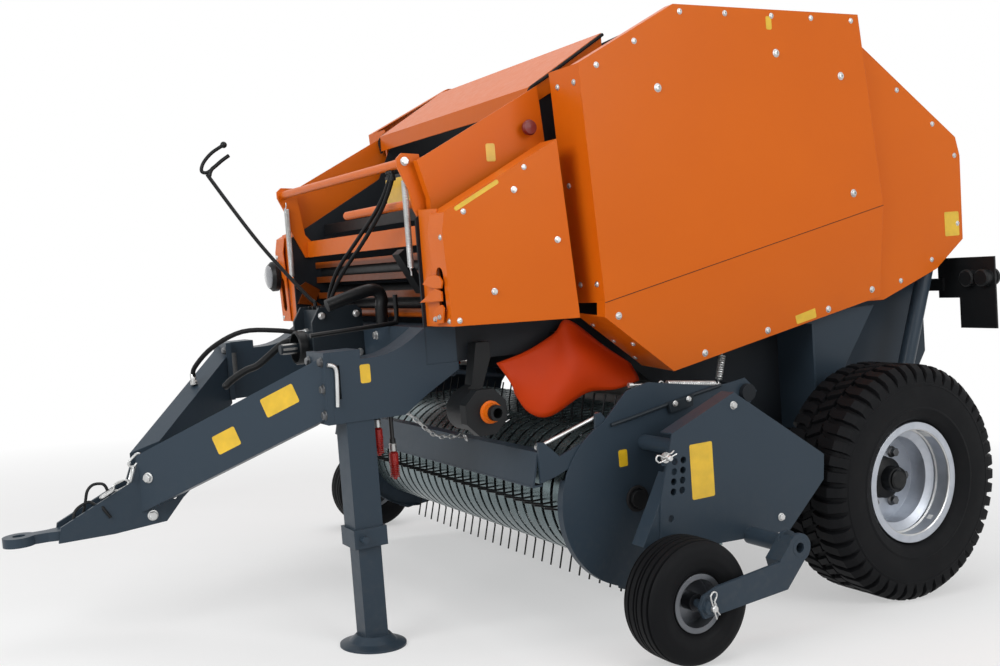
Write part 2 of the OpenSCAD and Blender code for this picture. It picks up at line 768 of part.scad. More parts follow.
// Places of the couplings along the machine, and the length of hose above each
coupling_table = [[1793, 0], [1745, 84]];
coupling_y = goose_out - 95;

module couplings() {
    color("firebrick") parked() for (c = coupling_table) {
        top = goose_low - seat_gap - c[1];
        translate([c[0], coupling_y, top - 132])
            rotate_extrude($fn = 24) polygon([[0, 0], [6, 0], [10, 15], [15, 60], [15, 85], [10, 90],
                                              [10, 132], [0, 132]]);
        translate([c[0], coupling_y, top - cut]) cylinder(d = 14, h = c[1] + cut, $fn = 24);
    }
}

// Chain from the gooseneck to the windguard, and the pickup's springs
chain_d = 14;

module pickup_chain() {
    start_y = goose_out - goose_t - chain_d / 2 - seat_gap;
    color(zinc) parked()
        swept([[1735, start_y, 905], [1640, start_y - 12, 815], [1560, 450, 750], [1480, 420, 730],
               [1428, 402, 722],
               [1415.8, 400, 696]], chain_d, [0, 1, 0]);
}

lug_top = 830;

module pickup_springs() {
    color(zinc) parked() for (side = [left, right]) on_side(side)
        swept([[615, spring_y + 30, lug_top + seat_gap], [615, spring_y + 30, 842],
               [580, spring_y + 15, 890],
               [560, spring_y, 940]], 26, [0, 1, 0]);
}

// Tailgate walls with their hinge arms and the cylinders' upper pins
arm_gap = 6;
gate_arm_t = 16;
ram_pin_y = ram_y - ram_rod_d / 2 - 5;

module gate_wall() {
    front = parting_x - parting_gap / 2;
    difference() {
        union() {
            plate([[front, 600], [front, gate_hinge_z - 75], [-120, gate_hinge_z - 75], [-150, 2010],
                   [-590, 1712],
                   [-gate_back + 5, 1640], [-gate_back, 810], [-gate_back + 44, 749], [-200, 600]],
                       chamber_half, wall_t);
            plate([[gate_hinge_x - 48, gate_hinge_z], [gate_hinge_x, gate_hinge_z + 48],
                   [gate_hinge_x + 48, gate_hinge_z],
                   [0, 1700], [-300, 1500], [-340, 1600]], wall_out + arm_gap, gate_arm_t);
            plate([[0, 1700], [-300, 1500], [-340, 1600], [-130, 1850]], wall_out - cut, arm_gap + 2 * cut);
            bar(ram_head[0], ram_head[1], 70, wall_out - cut, 20 + cut);
            bar(ram_head[0], ram_head[1], ram_pin_d, wall_out - cut, ram_pin_y - wall_out + cut);
        }
        bar(gate_hinge_x, gate_hinge_z, gate_pin_d + 2 * run_gap, wall_out + 2, 60);
    }
}

module left_gate_wall() { color(anthracite) parked() on_side(left) gate_wall(); }
module right_gate_wall() { color(anthracite) parked() on_side(right) gate_wall(); }

module gate_crossbars() {
    color(anthracite) parked() for (p = [[-gate_back + 70, 760], [-gate_back + 70, 1560], [-160, 1925]])
        block([p[0] - 30, -chamber_half, p[1]], [p[0] + 30, chamber_half, p[1] + 60]);
}

// Tailgate shields
module gate_shield() {
    pan([[-100, 1062], [-100, 2020], [-151, 2016], [-650, 1673], [-672, 1600], [-668, 1267],
         [-507, 1158], [-201, 1060]],
        gate_shield_y, 26);
    for (p = [[-520, 1640], [-180, 1900]])
        bar(p[0], p[1], post_d, wall_out, gate_shield_y - sheet_t + cut - wall_out);
}

module left_gate_shield() { color(orange) parked() on_side(left) gate_shield(); }
module right_gate_shield() { color(orange) parked() on_side(right) gate_shield(); }

// Rear lamps on black plates that reach out behind the wheels
lamp_plate = [-670, -662];
lamp_plate_zs = [908, 1030, 1192];
lamp_plate_ys = [wall_out + 82, wall_out + 182, wall_out + 349];
lamp_ys = [wall_out + 240, wall_out + 310];

module lamp() {
    block([lamp_plate[0], lamp_plate_ys[0], lamp_plate_zs[1]],
          [lamp_plate[1], lamp_plate_ys[2], lamp_plate_zs[2]]);
    block([lamp_plate[0], lamp_plate_ys[1], lamp_plate_zs[0]],
          [lamp_plate[1], lamp_plate_ys[2], lamp_plate_zs[1] + cut]);
    block([lamp_plate[1] - 2, wall_out, 1060], [-gate_back + 8, lamp_plate_ys[0] + 30, 1110]);
    for (y = lamp_ys) translate([-lamp_back, y, lamp_z]) rotate([0, 90, 0]) cylinder(d = lamp_d, h = 60);
}

module left_lamp() { color(black) parked() on_side(left) lamp(); }
module right_lamp() { color(black) parked() on_side(right) lamp(); }

// Lifting cylinders of the tailgate, drawn upright from their lower pin and then leaned
ram_rest = norm(ram_head - ram_foot);
ram_tilt = -atan2(ram_foot[0] - ram_head[0], ram_head[1] - ram_foot[1]);
barrel_end = 905;
rod_start = 75;
eye_r = 36;

module ram_pose(side) {
    translate([ram_foot[0], side * ram_y, ram_foot[1]]) rotate([0, ram_tilt, 0]) children();
}

module ram_barrel() {
    difference() {
        union() {
            translate([0, 0, 25]) cylinder(d = ram_barrel_d - 8, h = barrel_end - 25);
            translate([0, 0, barrel_end - 40]) cylinder(d = ram_barrel_d, h = 40);
            translate([0, 0, 25]) cylinder(d = ram_barrel_d, h = 30);
            rotate([90, 0, 0]) cylinder(r = eye_r, h = ram_barrel_d, center = true);
        }
        rotate([90, 0, 0]) cylinder(d = ram_pin_d + 2 * run_gap, h = 2 * ram_barrel_d, center = true);
        translate([0, 0, rod_start - 5]) cylinder(d = ram_rod_d + 2 * run_gap, h = barrel_end);
    }
}

module ram_rod() {
    difference() {
        union() {
            translate([0, 0, rod_start]) cylinder(d = ram_rod_d, h = ram_rest - eye_r / 2 - rod_start);
            translate([0, 0, ram_rest]) rotate([90, 0, 0])
                cylinder(r = eye_r, h = ram_rod_d, center = true);
        }
        translate([0, 0, ram_rest]) rotate([90, 0, 0])
            cylinder(d = ram_pin_d + 2 * run_gap, h = 2 * ram_rod_d, center = true);
    }
}

module left_ram_barrel() { color(black) parked() ram_pose(left) ram_barrel(); }
module right_ram_barrel() { color(black) parked() ram_pose(right) ram_barrel(); }
module left_ram_rod() { color(zinc) parked() ram_pose(left) ram_rod(); }
module right_ram_rod() { color(zinc) parked() ram_pose(right) ram_rod(); }

// Pickup side shields: round at the front with a turned-in edge, tapering back to the pivot
pickup_t = 6;
side_r = 288;
side_edge = 24;

module pickup_side() {
    difference() {
        union() {
            bar(reel_x, reel_z, 2 * side_r, pickup_y, pickup_t);
            plate([[lift_x, lift_z + 50], [677, 836], [975, 884], [1064, 866], [1199, 740],
                   [1143, 230], [1104, 215],
                   [reel_x, reel_z - side_r], [700, 300], [lift_x, lift_z - 60],
                       [lift_x - 50, lift_z]], pickup_y, pickup_t);
            difference() {
                bar(reel_x, reel_z, 2 * side_r, pickup_y - side_edge, side_edge + cut);
                bar(reel_x, reel_z, 2 * (side_r - sheet_t), pickup_y - side_edge - cut,
                    side_edge + 3 * cut);
                block([0, 0, 0], [reel_x, 2000, 2000]);
                block([0, 0, reel_z + 100], [3000, 2000, 2000]);
            }
            block([600, spring_y + 14, lug_top - 15], [630, pickup_y + cut, lug_top]);
        }
        bar(reel_x, reel_z, reel_shaft_d + 2 * run_gap, pickup_y - cut, pickup_t + 2 * cut);
        bar(lift_x, lift_z, lift_pin_d + 2 * run_gap, pickup_y - cut, pickup_t + 2 * cut);
    }
}

module left_pickup_side() { color(anthracite) parked() on_side(left) pickup_side(); }
module right_pickup_side() { color(anthracite) parked() on_side(right) pickup_side(); }

// Gauge wheel plates: a flanged plate with a post of height holes, and the arm that carries the wheel
gauge_z = over_ground(gauge_x, gauge_r);
gauge_arm_y = gauge_y + gauge_w / 2 + 14;
gauge_arm_t = 12;
plate_t = 6;
trail = [770, 376];
plate_top = [806, 845];
plate_front = [1060, 748];
plate_flange = 55;
post_w = 60;
tie_table = [[1005, 690], [700, 500]];
hole_d = 22;
hole_rows = 4;
hole_pitch = 31;

module wheel_plate() {
    tie_y = pickup_y + pickup_t;
    difference() {
        union() {
            plate([plate_top, [431, 590], [439, 505], [605, 360], [1135, 385], [1120, 545],
                   plate_front], wheel_plate_y, plate_t);
            strip(plate_front, plate_top, -plate_t, wheel_plate_y - plate_flange, plate_flange + cut);
            plate([[1005, 741], [951, 721], [1142, 393], [1193, 415]], wheel_plate_y - post_w, post_w);
        }
        for (i = [0 : hole_rows - 1], x = [1024, 1058])
            bar(x + 4 * i, 660 - i * hole_pitch, hole_d, wheel_plate_y - post_w - cut,
                post_w + plate_t + 2 * cut);
        bar(1086, 486, hole_d, wheel_plate_y - cut, plate_t + 2 * cut);
    }
    for (t = tie_table) bar(t[0], t[1], 50, tie_y,
                            wheel_plate_y - tie_y - (t[0] > 900 ? post_w - cut : -cut));
    difference() {
        union() {
            bar(trail[0], trail[1], 56, wheel_plate_y + cut, gauge_arm_y - wheel_plate_y + gauge_arm_t);
            for (y = [gauge_arm_y - 52, gauge_arm_y]) bar(trail[0], trail[1], 88, y, gauge_arm_t);
            plate([[trail[0] + 20, trail[1] + 38], [853, 350], [828, 258], [trail[0] - 20, trail[1] - 38]],
                  gauge_arm_y - 52, 52 + gauge_arm_t);
            plate([[800, 352], [gauge_x - 40, gauge_z + 52], [gauge_x + 15, gauge_z + 34],
                   [gauge_x + 32, gauge_z],
                   [gauge_x + 15, gauge_z - 32], [gauge_x - 60, gauge_z - 28], [828, 258]],
                       gauge_arm_y, gauge_arm_t);
        }
        bar(trail[0], trail[1], 32, gauge_arm_y - 60, 100);
    }
    bar(gauge_x, gauge_z, gauge_axle_d, gauge_y - 60, gauge_arm_y - gauge_y + 60 + cut);
    bar(gauge_x, gauge_z, 40, gauge_arm_y + gauge_arm_t - cut, 12 + cut);
}

module left_wheel_plate() { color(anthracite) parked() on_side(left) wheel_plate(); }
module right_wheel_plate() { color(anthracite) parked() on_side(right) wheel_plate(); }

// Stripper bands between the tines, bent round the reel and bolted to two rear rails
band_t = 4;
band_tail = 350;
rail_side = 40;
pitch = 2 * tine_half / (tine_count - 1);

module band_outline(r) {
    circle(r = r, $fn = 64);
    translate([-band_tail, -r]) square([band_tail, 2 * r]);
}

module strippers() {
    color(anthracite) parked() translate([reel_x, 0, reel_z]) {
        for (i = [0 : tine_count - 2])
            translate([0, -tine_half + (i + 0.5) * pitch + band_w / 2, 0]) rotate([90, 0, 0])
                linear_extrude(band_w) difference() {
                    band_outline(band_r);
                    band_outline(band_r - band_t);
                    translate([-band_tail - cut, -band_r + band_t])
                        square([band_tail, 2 * (band_r - band_t)]);
                }
        for (z = [band_r - band_t - rail_side, -band_r + band_t])
            block([-band_tail, -pickup_y, z], [-band_tail + rail_side, pickup_y, z + rail_side]);
    }
}

// Windguard over the pickup, a sheet folded along both edges between two end brackets
guard_high = [1400, 712];
guard_low = [1425, 604];
guard_t = 6;
bracket_t = 10;

module windguard() {
    half = pickup_y - bracket_t;
    color(anthracite) parked() {
        strip(guard_high, guard_low, -guard_t, -half, 2 * half);
        block([guard_high[0] - 36, -half, guard_high[1] - guard_t],
              [guard_high[0] + guard_t, half, guard_high[1]]);
        block([guard_low[0] - 30, -half, guard_low[1]],
              [guard_low[0] + guard_t, half, guard_low[1] + guard_t]);
        for (side = [left, right]) on_side(side)
            plate([[1406, 745], [1406, 615], [1340, 632], [1190, 690], [1150, 740], [1150, 790],
                   [1165, 808], [1185, 806], [1190, 740], [1330, 690], [1385, 742]], half, bracket_t);
    }
}

// Struts on the windguard's brackets and the long springs along the pickup's top edge
strut_d = 14;
long_spring_d = 26;

module pickup_rods() {
    strut_y = pickup_y - bracket_t - strut_d / 2 - seat_gap;
    spring_y_out = pickup_y - long_spring_d / 2 - seat_gap;
    color(zinc) parked() for (side = [left, right]) on_side(side) {
        swept([[1396, strut_y, 728], [1290, strut_y, 763], [1165, strut_y, 796]], strut_d, [0, 1, 0]);
        swept([[1040, spring_y_out, 880], [945, spring_y_out, 872], [655, spring_y_out, 838]],
              long_spring_d, [0, 1, 0]);
    }
}

// Reel: shaft, spider discs, tine bars and bent spring tines
spider_count = 5;
spider_t = 12;
bend_l = 70;

module tine() {
    bend_r = tine_r - bend_l;
    translate([bar_r, 0, 0]) rotate([0, 90, 0]) cylinder(d = tine_d, h = bend_r - bar_r + tine_d / 2,
                                                         $fn = 6);
    translate([bend_r, 0, 0]) rotate([0, 76, 0]) cylinder(d = tine_d, h = bend_l + 1, $fn = 6);
}

module pickup_reel() {
    color(black) parked() translate([reel_x, 0, reel_z]) {
        bar(0, 0, reel_shaft_d, -pickup_y - pickup_t - 20, 2 * (pickup_y + pickup_t + 20));
        for (i = [0 : spider_count - 1])
            bar(0, 0, 2 * bar_r + bar_d + 10,
                -tine_half - spider_t + i * (2 * tine_half + spider_t) / (spider_count - 1), spider_t);
        for (b = [0 : bar_count - 1]) rotate([0, b * 360 / bar_count, 0]) {
            bar(bar_r, 0, bar_d, -tine_half - spider_t, 2 * tine_half + 2 * spider_t);
            for (i = [0 : tine_count - 1]) translate([0, -tine_half + i * pitch, 0]) tine();
        }
    }
}

// Main wheels: a carcass with a ring of lugs over each shoulder, and a dished rim
bead_r = rim_d / 2 - 18;
bead_half = wheel_w * 0.36;
crown_r = wheel_r - lug_h;
lug_w = 46;
tyre_sides = 36;

module at_wheel(side) {
    translate([middle_shift, side * wheel_y, wheel_r]) rotate([-side * 90, 0, 0]) children();
}

// One side of the carcass, as radius and distance from the tyre's middle plane
carcass = [[bead_r, bead_half], [rim_d / 2 + 4, bead_half], [rim_d / 2 + 24, wheel_w * 0.46],
           [(bead_r + wheel_r) / 2, wheel_w * 0.5], [wheel_r - 60, wheel_w * 0.485],
               [crown_r, wheel_w * 0.34]];

function mirrored(half) = concat(half, [for (i = [len(half) - 1 : -1 : 0]) [half[i][0], -half[i][1]]]);

module lug() {
    tip = sqrt(wheel_r * wheel_r - lug_w * lug_w / 4);
    rotate([90, 0, 0]) linear_extrude(lug_w, center = true)
        polygon([[crown_r - 12, wheel_w * 0.1], [tip, wheel_w * 0.12], [tip, wheel_w * 0.37],
                 [tip - 55, wheel_w * 0.497], [tip - 57, wheel_w * 0.4]]);
}

module tyre() {
    rotate_extrude($fn = tyre_sides) polygon(mirrored(carcass));
    for (k = [0 : lug_count - 1]) {
        rotate(k * 360 / lug_count) lug();
        rotate((k + 0.5) * 360 / lug_count) mirror([0, 0, 1]) lug();
    }
}

well_r = bead_r - 34;
rim_t = 7;
disc_z = -45;
stud_count = 6;
stud_ring_r = 102.5;
hub_d = 150;

module rim() {
    lip = bead_half + 10;
    seat = bead_half + seat_gap;
    outside = [[rim_d / 2, lip], [rim_d / 2, seat], [bead_r - seat_gap, seat], [bead_r - seat_gap, 46],
               [well_r, 30]];
    inside = [for (p = [[well_r, 33], [bead_r, 49], [bead_r, lip]]) p - [rim_t, 0]];
    difference() {
        union() {
            rotate_extrude($fn = tyre_sides) polygon(mirrored(concat(inside, outside)));
            translate([0, 0, disc_z]) cylinder(r = bead_r - 3, h = 12);
            translate([0, 0, disc_z - 25]) cylinder(d = hub_d, h = 45);
            translate([0, 0, disc_z + 19]) cylinder(d = 84, h = 66);
            for (k = [0 : stud_count - 1]) rotate(k * 360 / stud_count)
                translate([stud_ring_r, 0, disc_z]) cylinder(d = 26, h = 34, $fn = 6);
        }
        translate([0, 0, -wheel_w]) cylinder(d = spindle_d + 2 * run_gap, h = wheel_w + 26);
    }
}

module left_tyre() { color(black) at_wheel(left) tyre(); }
module right_tyre() { color(black) at_wheel(right) tyre(); }
module left_rim() { color(zinc) at_wheel(left) rim(); }
module right_rim() { color(zinc) at_wheel(right) rim(); }

// Gauge wheels, with ribs round the tyre
gauge_bead_r = gauge_rim_d / 2 - 8;
gauge_bead_half = gauge_w * 0.36;
rib_groove = 5;
gauge_sides = 24;

gauge_half = [[gauge_bead_r, gauge_bead_half], [gauge_rim_d / 2 + 4, gauge_bead_half],
              [gauge_rim_d / 2 + 20, gauge_w * 0.47], [gauge_r - 28, gauge_w * 0.5],
                  [gauge_r - 4, gauge_w * 0.38],
              [gauge_r, gauge_w * 0.17], [gauge_r - rib_groove, gauge_w * 0.13], [gauge_r, gauge_w * 0.09]];

module at_gauge(side) {
    translate([middle_shift + parked_x(gauge_x, gauge_z), side * gauge_y, gauge_r])
        rotate([side * 90, 0, 0]) children();
}

module gauge_tyre() {
    rotate_extrude($fn = gauge_sides) polygon(mirrored(gauge_half));
}

module gauge_rim() {
    bore_r = gauge_axle_d / 2 + run_gap;
    lip = gauge_bead_half + 5;
    seat = gauge_bead_half + seat_gap;
    inner_r = gauge_bead_r - 8;
    hub_r = 26;
    hub_half = 50;
    web_half = 8;
    rotate_extrude($fn = gauge_sides) polygon(mirrored([
        [bore_r, hub_half], [hub_r, hub_half], [hub_r, web_half], [inner_r, web_half], [inner_r, lip],
        [gauge_rim_d / 2, lip], [gauge_rim_d / 2, seat], [gauge_bead_r - seat_gap, seat]
    ]));
}

module left_gauge_tyre() { color(black) at_gauge(left) gauge_tyre(); }
module right_gauge_tyre() { color(black) at_gauge(right) gauge_tyre(); }
module left_gauge_rim() { color(zinc) at_gauge(left) gauge_rim(); }
module right_gauge_rim() { color(zinc) at_gauge(right) gauge_rim(); }

axle_beam();
left_chamber_wall();
right_chamber_wall();
chamber_rollers();
left_main_shield();
right_main_shield();
left_lower_cover();
right_lower_cover();
left_cheek();
right_cheek();
hood();
net_frame();
net_springs();
net_rollers();
cross_beam();
left_gooseneck();
right_gooseneck();
drawbar();
hitch_eye();
jack_tube();
gearbox();
hose_rod();
chain_case();
front_lamp();
left_apron();
right_apron();
drawbar_hose();
net_hoses();
couplings();
pickup_chain();
pickup_springs();
left_gate_wall();
right_gate_wall();
gate_rollers();
left_gate_shield();
right_gate_shield();
gate_crossbars();
left_lamp();
right_lamp();
left_ram_barrel();
right_ram_barrel();
left_ram_rod();
right_ram_rod();
left_pickup_side();
right_pickup_side();
left_wheel_plate();
right_wheel_plate();
strippers();
windguard();
pickup_rods();
pickup_reel();
left_tyre();
right_tyre();
left_rim();
right_rim();
left_gauge_tyre();
right_gauge_tyre();
left_gauge_rim();
right_gauge_rim();
jack_leg();
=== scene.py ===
"""Looks of the towed round baler: camera, studio, materials and the fine pieces that dress the CAD frame.

Places are written in millimetres of the level machine, as in the part's source: X forward from the main
axle, Y left, Z up from the ground. at() and MACHINE lean them nose-down into the parked frame, in metres.
Profiles, radii and thicknesses are in metres.
"""

import json
from math import cos, pi, radians, sin, tan

import bmesh
import bpy
from mathutils import Matrix, Vector


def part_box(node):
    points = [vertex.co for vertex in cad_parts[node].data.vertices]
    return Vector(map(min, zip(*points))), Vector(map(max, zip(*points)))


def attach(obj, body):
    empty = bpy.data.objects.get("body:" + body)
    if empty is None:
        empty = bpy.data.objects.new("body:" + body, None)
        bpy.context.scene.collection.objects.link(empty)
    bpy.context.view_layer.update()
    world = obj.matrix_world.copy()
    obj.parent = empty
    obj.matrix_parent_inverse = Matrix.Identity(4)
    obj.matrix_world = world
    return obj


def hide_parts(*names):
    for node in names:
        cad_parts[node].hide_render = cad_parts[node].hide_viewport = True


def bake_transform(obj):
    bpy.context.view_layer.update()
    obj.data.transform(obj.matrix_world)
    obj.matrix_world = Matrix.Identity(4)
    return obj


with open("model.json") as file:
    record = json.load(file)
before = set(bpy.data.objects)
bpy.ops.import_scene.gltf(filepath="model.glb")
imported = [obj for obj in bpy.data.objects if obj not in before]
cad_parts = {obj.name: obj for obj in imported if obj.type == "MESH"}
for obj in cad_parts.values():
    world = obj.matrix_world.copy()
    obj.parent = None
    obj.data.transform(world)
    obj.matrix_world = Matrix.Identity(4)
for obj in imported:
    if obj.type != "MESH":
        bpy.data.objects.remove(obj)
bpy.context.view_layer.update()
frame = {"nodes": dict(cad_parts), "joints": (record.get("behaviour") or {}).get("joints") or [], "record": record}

MM = 0.001
TURN = 2 * pi
LEAN = radians(4.2)
SIDES = (("left", 1), ("right", -1))
JOINT_AT = {j["name"]: Vector(j["pos_m"]) for j in frame["joints"] if j.get("pos_m")}
AXLE = JOINT_AT["left_wheel_spin"]
WHEEL_R = AXLE.z
MACHINE = (Matrix.Translation((AXLE.x, 0, WHEEL_R)) @ Matrix.Rotation(LEAN, 4, "Y")
           @ Matrix.Translation((0, 0, -WHEEL_R)))


def at(x, y, z):
    """A place of the level machine, in millimetres, as a point of the parked frame in metres."""
    return MACHINE @ Vector((x * MM, y * MM, z * MM))


def along(x, y, z):
    """A direction of the level machine in the parked frame."""
    return (MACHINE.to_3x3() @ Vector((x, y, z))).normalized()


AHEAD, LEFT, UP = along(1, 0, 0), along(0, 1, 0), along(0, 0, 1)


def outer(node):
    """How far a node reaches to the left, in millimetres."""
    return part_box(node)[1].y / MM


def facing(point, normal, spin=0):
    """A placement whose local Z axis looks along normal."""
    turn = Vector(normal).to_track_quat("Z", "Y").to_matrix().to_4x4()
    return Matrix.Translation(point) @ turn @ Matrix.Rotation(spin, 4, "Z")


def smooth_route(points, steps):
    """A Catmull-Rom curve through the points."""
    points = [Vector(p) for p in points]
    ends = [2 * points[0] - points[1]] + points + [2 * points[-1] - points[-2]]
    out = []
    for a, b, c, d in zip(ends, ends[1:], ends[2:], ends[3:]):
        for k in range(steps):
            t = k / steps
            out.append(0.5 * (2 * b + (c - a) * t + (2 * a - 5 * b + 4 * c - d) * t ** 2
                              + (3 * b - a - 3 * c + d) * t ** 3))
    return out + [points[-1]]


def length_of(route):
    return sum((b - a).length for a, b in zip(route, route[1:]))


def circle(sides):
    """The angles of a round form's sides."""
    return [TURN * k / sides for k in range(sides)]


def polar(r, a, h=0):
    """The point at a radius, an angle and a height."""
    return r * cos(a), r * sin(a), h


def new_object(name, data):
    """A new object in the scene."""
    made = bpy.data.objects.new(name, data)
    bpy.context.scene.collection.objects.link(made)
    return made


# ---- material and mesh tools

class Nodes:
    """A node tree under construction."""

    def __init__(self, tree):
        self.tree = tree

    def fill(self, socket, value):
        """Links another socket in, or sets a plain value; a colour is three numbers."""
        if isinstance(value, bpy.types.NodeSocket):
            self.tree.links.new(value, socket)
        else:
            socket.default_value = (*value, 1) if socket.type == "RGBA" else value

    def add(self, kind, *values, **settings):
        """A new node with these settings, whose first inputs take the values."""
        node = self.tree.nodes.new(kind)
        for name, value in settings.items():
            setattr(node, name, value)
        for socket, value in zip(node.inputs, values):
            self.fill(socket, value)
        return node

    def maths(self, operation, a, b):
        return self.add("ShaderNodeMath", a, b, operation=operation).outputs[0]

    def times(self, a, b):
        return self.maths("MULTIPLY", a, b)

    def ramp(self, value, low, high, start=0, end=1):
        """From start at low to end at high."""
        return self.add("ShaderNodeMapRange", value, low, high, start, end).outputs["Result"]

    def looking(self):
        """One where the camera, a reflection or a lens looks at the background."""
        path = self.add("ShaderNodeLightPath").outputs
        sharp = self.maths("MAXIMUM", path["Is Camera Ray"], path["Is Glossy Ray"])
        return self.maths("MAXIMUM", sharp, path["Is Transmission Ray"])


class Look(Nodes):
    """A procedural material under construction, in the frame's own coordinates."""

    def __init__(self, name):
        self.material = bpy.data.materials.new(name)
        self.material.use_nodes = True
        super().__init__(self.material.node_tree)
        self.shader = self.tree.nodes["Principled BSDF"]
        self.place = self.add("ShaderNodeTexCoord").outputs["Object"]

    def feed(self, name, value):
        """Sets or links one of the shader's inputs."""
        self.fill(self.shader.inputs[name], value)

    def axis(self, name):
        return self.add("ShaderNodeSeparateXYZ", self.place).outputs[name]

    def vector(self, operation, *values):
        """The result of vector maths: a number for a length or a dot product."""
        node = self.add("ShaderNodeVectorMath", *values, operation=operation)
        return node.outputs["Value" if operation in ("LENGTH", "DOT_PRODUCT") else "Vector"]

    def noise(self, scale, detail=4, stretch=(1, 1, 1)):
        """Cloudy noise; stretch scales the coordinates along each axis."""
        mapping = self.add("ShaderNodeMapping", self.place)
        mapping.inputs["Scale"].default_value = stretch
        node = self.add("ShaderNodeTexNoise", mapping.outputs["Vector"])
        node.inputs["Scale"].default_value = scale
        node.inputs["Detail"].default_value = detail
        return node.outputs["Fac"]

    def clouds(self, scale, detail, low, high):
        """Noise, hardened between two of its levels."""
        return self.ramp(self.noise(scale, detail), low, high)

    def mix(self, share, a, b):
        """From colour a to colour b; each is three numbers or a socket."""
        node = self.add("ShaderNodeMix", share, data_type="RGBA")
        self.fill(node.inputs[6], a)
        self.fill(node.inputs[7], b)
        return node.outputs[2]

    def rough(self, share, low, high):
        self.feed("Roughness", self.ramp(share, 0, 1, low, high))

    def bump(self, height, distance, strength, normal=None):
        node = self.add("ShaderNodeBump")
        for name, value in (("Strength", strength), ("Distance", distance), ("Height", height), ("Normal", normal)):
            if value is not None:
                self.fill(node.inputs[name], value)
        self.feed("Normal", node.outputs["Normal"])

    def edges(self, radius):
        """The normal rounded over the edges, and a mask that is one along them."""
        soft = self.add("ShaderNodeBevel", radius, samples=4).outputs["Normal"]
        flat = self.add("ShaderNodeNewGeometry").outputs["Normal"]
        return soft, self.ramp(self.vector("DOT_PRODUCT", soft, flat), 0.98, 0.8)


SMOOTH_ANGLE = radians(32)


class Solid:
    """Collects closed forms into one mesh, in metres of the parked frame."""

    def __init__(self):
        self.mesh = bmesh.new()

    def add(self, points, faces, place=None):
        made = [self.mesh.verts.new(place @ Vector(p) if place else Vector(p)) for p in points]
        for face in faces:
            self.mesh.faces.new([made[i] for i in face])

    def rings(self, rings, place=None, closed=False):
        """Joins rings of equal length into a skin, with caps unless it closes on itself."""
        n, count = len(rings[0]), len(rings)
        points = [p for ring in rings for p in ring]
        faces = [(i * n + k, i * n + (k + 1) % n, (i + 1) % count * n + (k + 1) % n, (i + 1) % count * n + k)
                 for i in range(count if closed else count - 1) for k in range(n)]
        if not closed:
            faces += [tuple(range(n))[::-1], tuple(range((count - 1) * n, count * n))]
        self.add(points, faces, place)

    def lathe(self, profile, place, sides, closed=False):
        """Turns a profile of (radius, height) about the local Z axis."""
        self.rings([[polar(r, a, h) for a in circle(sides)] for r, h in profile], place, closed)

    def hoop(self, profile, place, sides):
        """A ring: a closed profile, turned."""
        self.lathe(profile, place, sides, closed=True)

    def prism(self, outline, low, high, place, bevel=0):
        """An outline in local X and Y between two heights, with a bevelled top edge."""
        middle = Vector((sum(p[0] for p in outline), sum(p[1] for p in outline))) / len(outline)

        def ring(inset, height):
            out = []
            for p in outline:
                v = Vector(p) - middle
                q = middle + v * max(0, 1 - inset / max(v.length, 1e-6))
                out.append((q.x, q.y, height))
            return out
        self.rings([ring(0, low), ring(0, high - bevel)] + ([ring(bevel, high)] if bevel else []), place)

    def front_plate(self, outline, x, thick, bevel=0.001, s=1):
        """A plate that faces ahead from x; its outline is across and up, in millimetres."""
        place = MACHINE @ Matrix(((0, 0, 1, x * MM), (s, 0, 0, 0), (0, 1, 0, 0), (0, 0, 0, 1)))
        self.prism([(y * MM, z * MM) for y, z in outline], 0, thick, place, bevel)

    def side_plate(self, outline, y, thick, bevel=0.001, s=1):
        """A plate that faces outwards from y; its outline is along and up, in millimetres."""
        place = MACHINE @ Matrix(((1, 0, 0, 0), (0, 0, s, s * y * MM), (0, 1, 0, 0), (0, 0, 0, 1)))
        self.prism([(x * MM, z * MM) for x, z in outline], 0, thick, place, bevel)

    def tube(self, route, radius, sides, closed=False):
        """A round tube along a route of points in metres."""
        route = [Vector(p) for p in route]
        count = len(route)
        across = None
        rings = []
        for i, p in enumerate(route):
            before = route[i - 1] if closed or i else route[i]
            after = route[(i + 1) % count] if closed or i < count - 1 else route[i]
            heading = (after - before).normalized()
            if across is None:
                across = heading.orthogonal().normalized()
            across = (across - heading * across.dot(heading)).normalized()
            other = heading.cross(across)
            rings.append([p + radius * (cos(a) * across + sin(a) * other) for a in circle(sides)])
        self.rings(rings, closed=closed)

    def bar(self, places, radius, sides, steps):
        """A bent bar through places of the machine."""
        self.tube(smooth_route([at(*p) for p in places], steps), radius, sides)

    def object(self, name, look):
        data = bpy.data.meshes.new(name)
        bmesh.ops.recalc_face_normals(self.mesh, faces=self.mesh.faces)
        self.mesh.to_mesh(data)
        self.mesh.free()
        data.polygons.foreach_set("use_smooth", [True] * len(data.polygons))
        data.set_sharp_from_angle(angle=SMOOTH_ANGLE)
        data.materials.append(look)
        return new_object(name, data)

    def piece(self, name, look, *nodes, body="root", slot=None):
        """The finished piece, riding on a body and standing for the named nodes."""
        made = self.object(name, look)
        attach(made, body)
        if nodes:
            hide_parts(*nodes)
        return made


def bend(made, node):
    """Makes a finished object stand for a node, its placement baked into its mesh."""
    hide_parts(node)
    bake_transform(made)


# ---- camera and studio

CAMERA_AHEAD, CAMERA_LEFT, CAMERA_UP = 3.221, 3.829, 1.084
CAMERA_YAW, CAMERA_PITCH, CAMERA_ROLL = 0.511, 0.029, -0.01
SENSOR_W = 36
FOCAL_PX = 1119.053
IMAGE_W = 1000
CLIP_END = 200


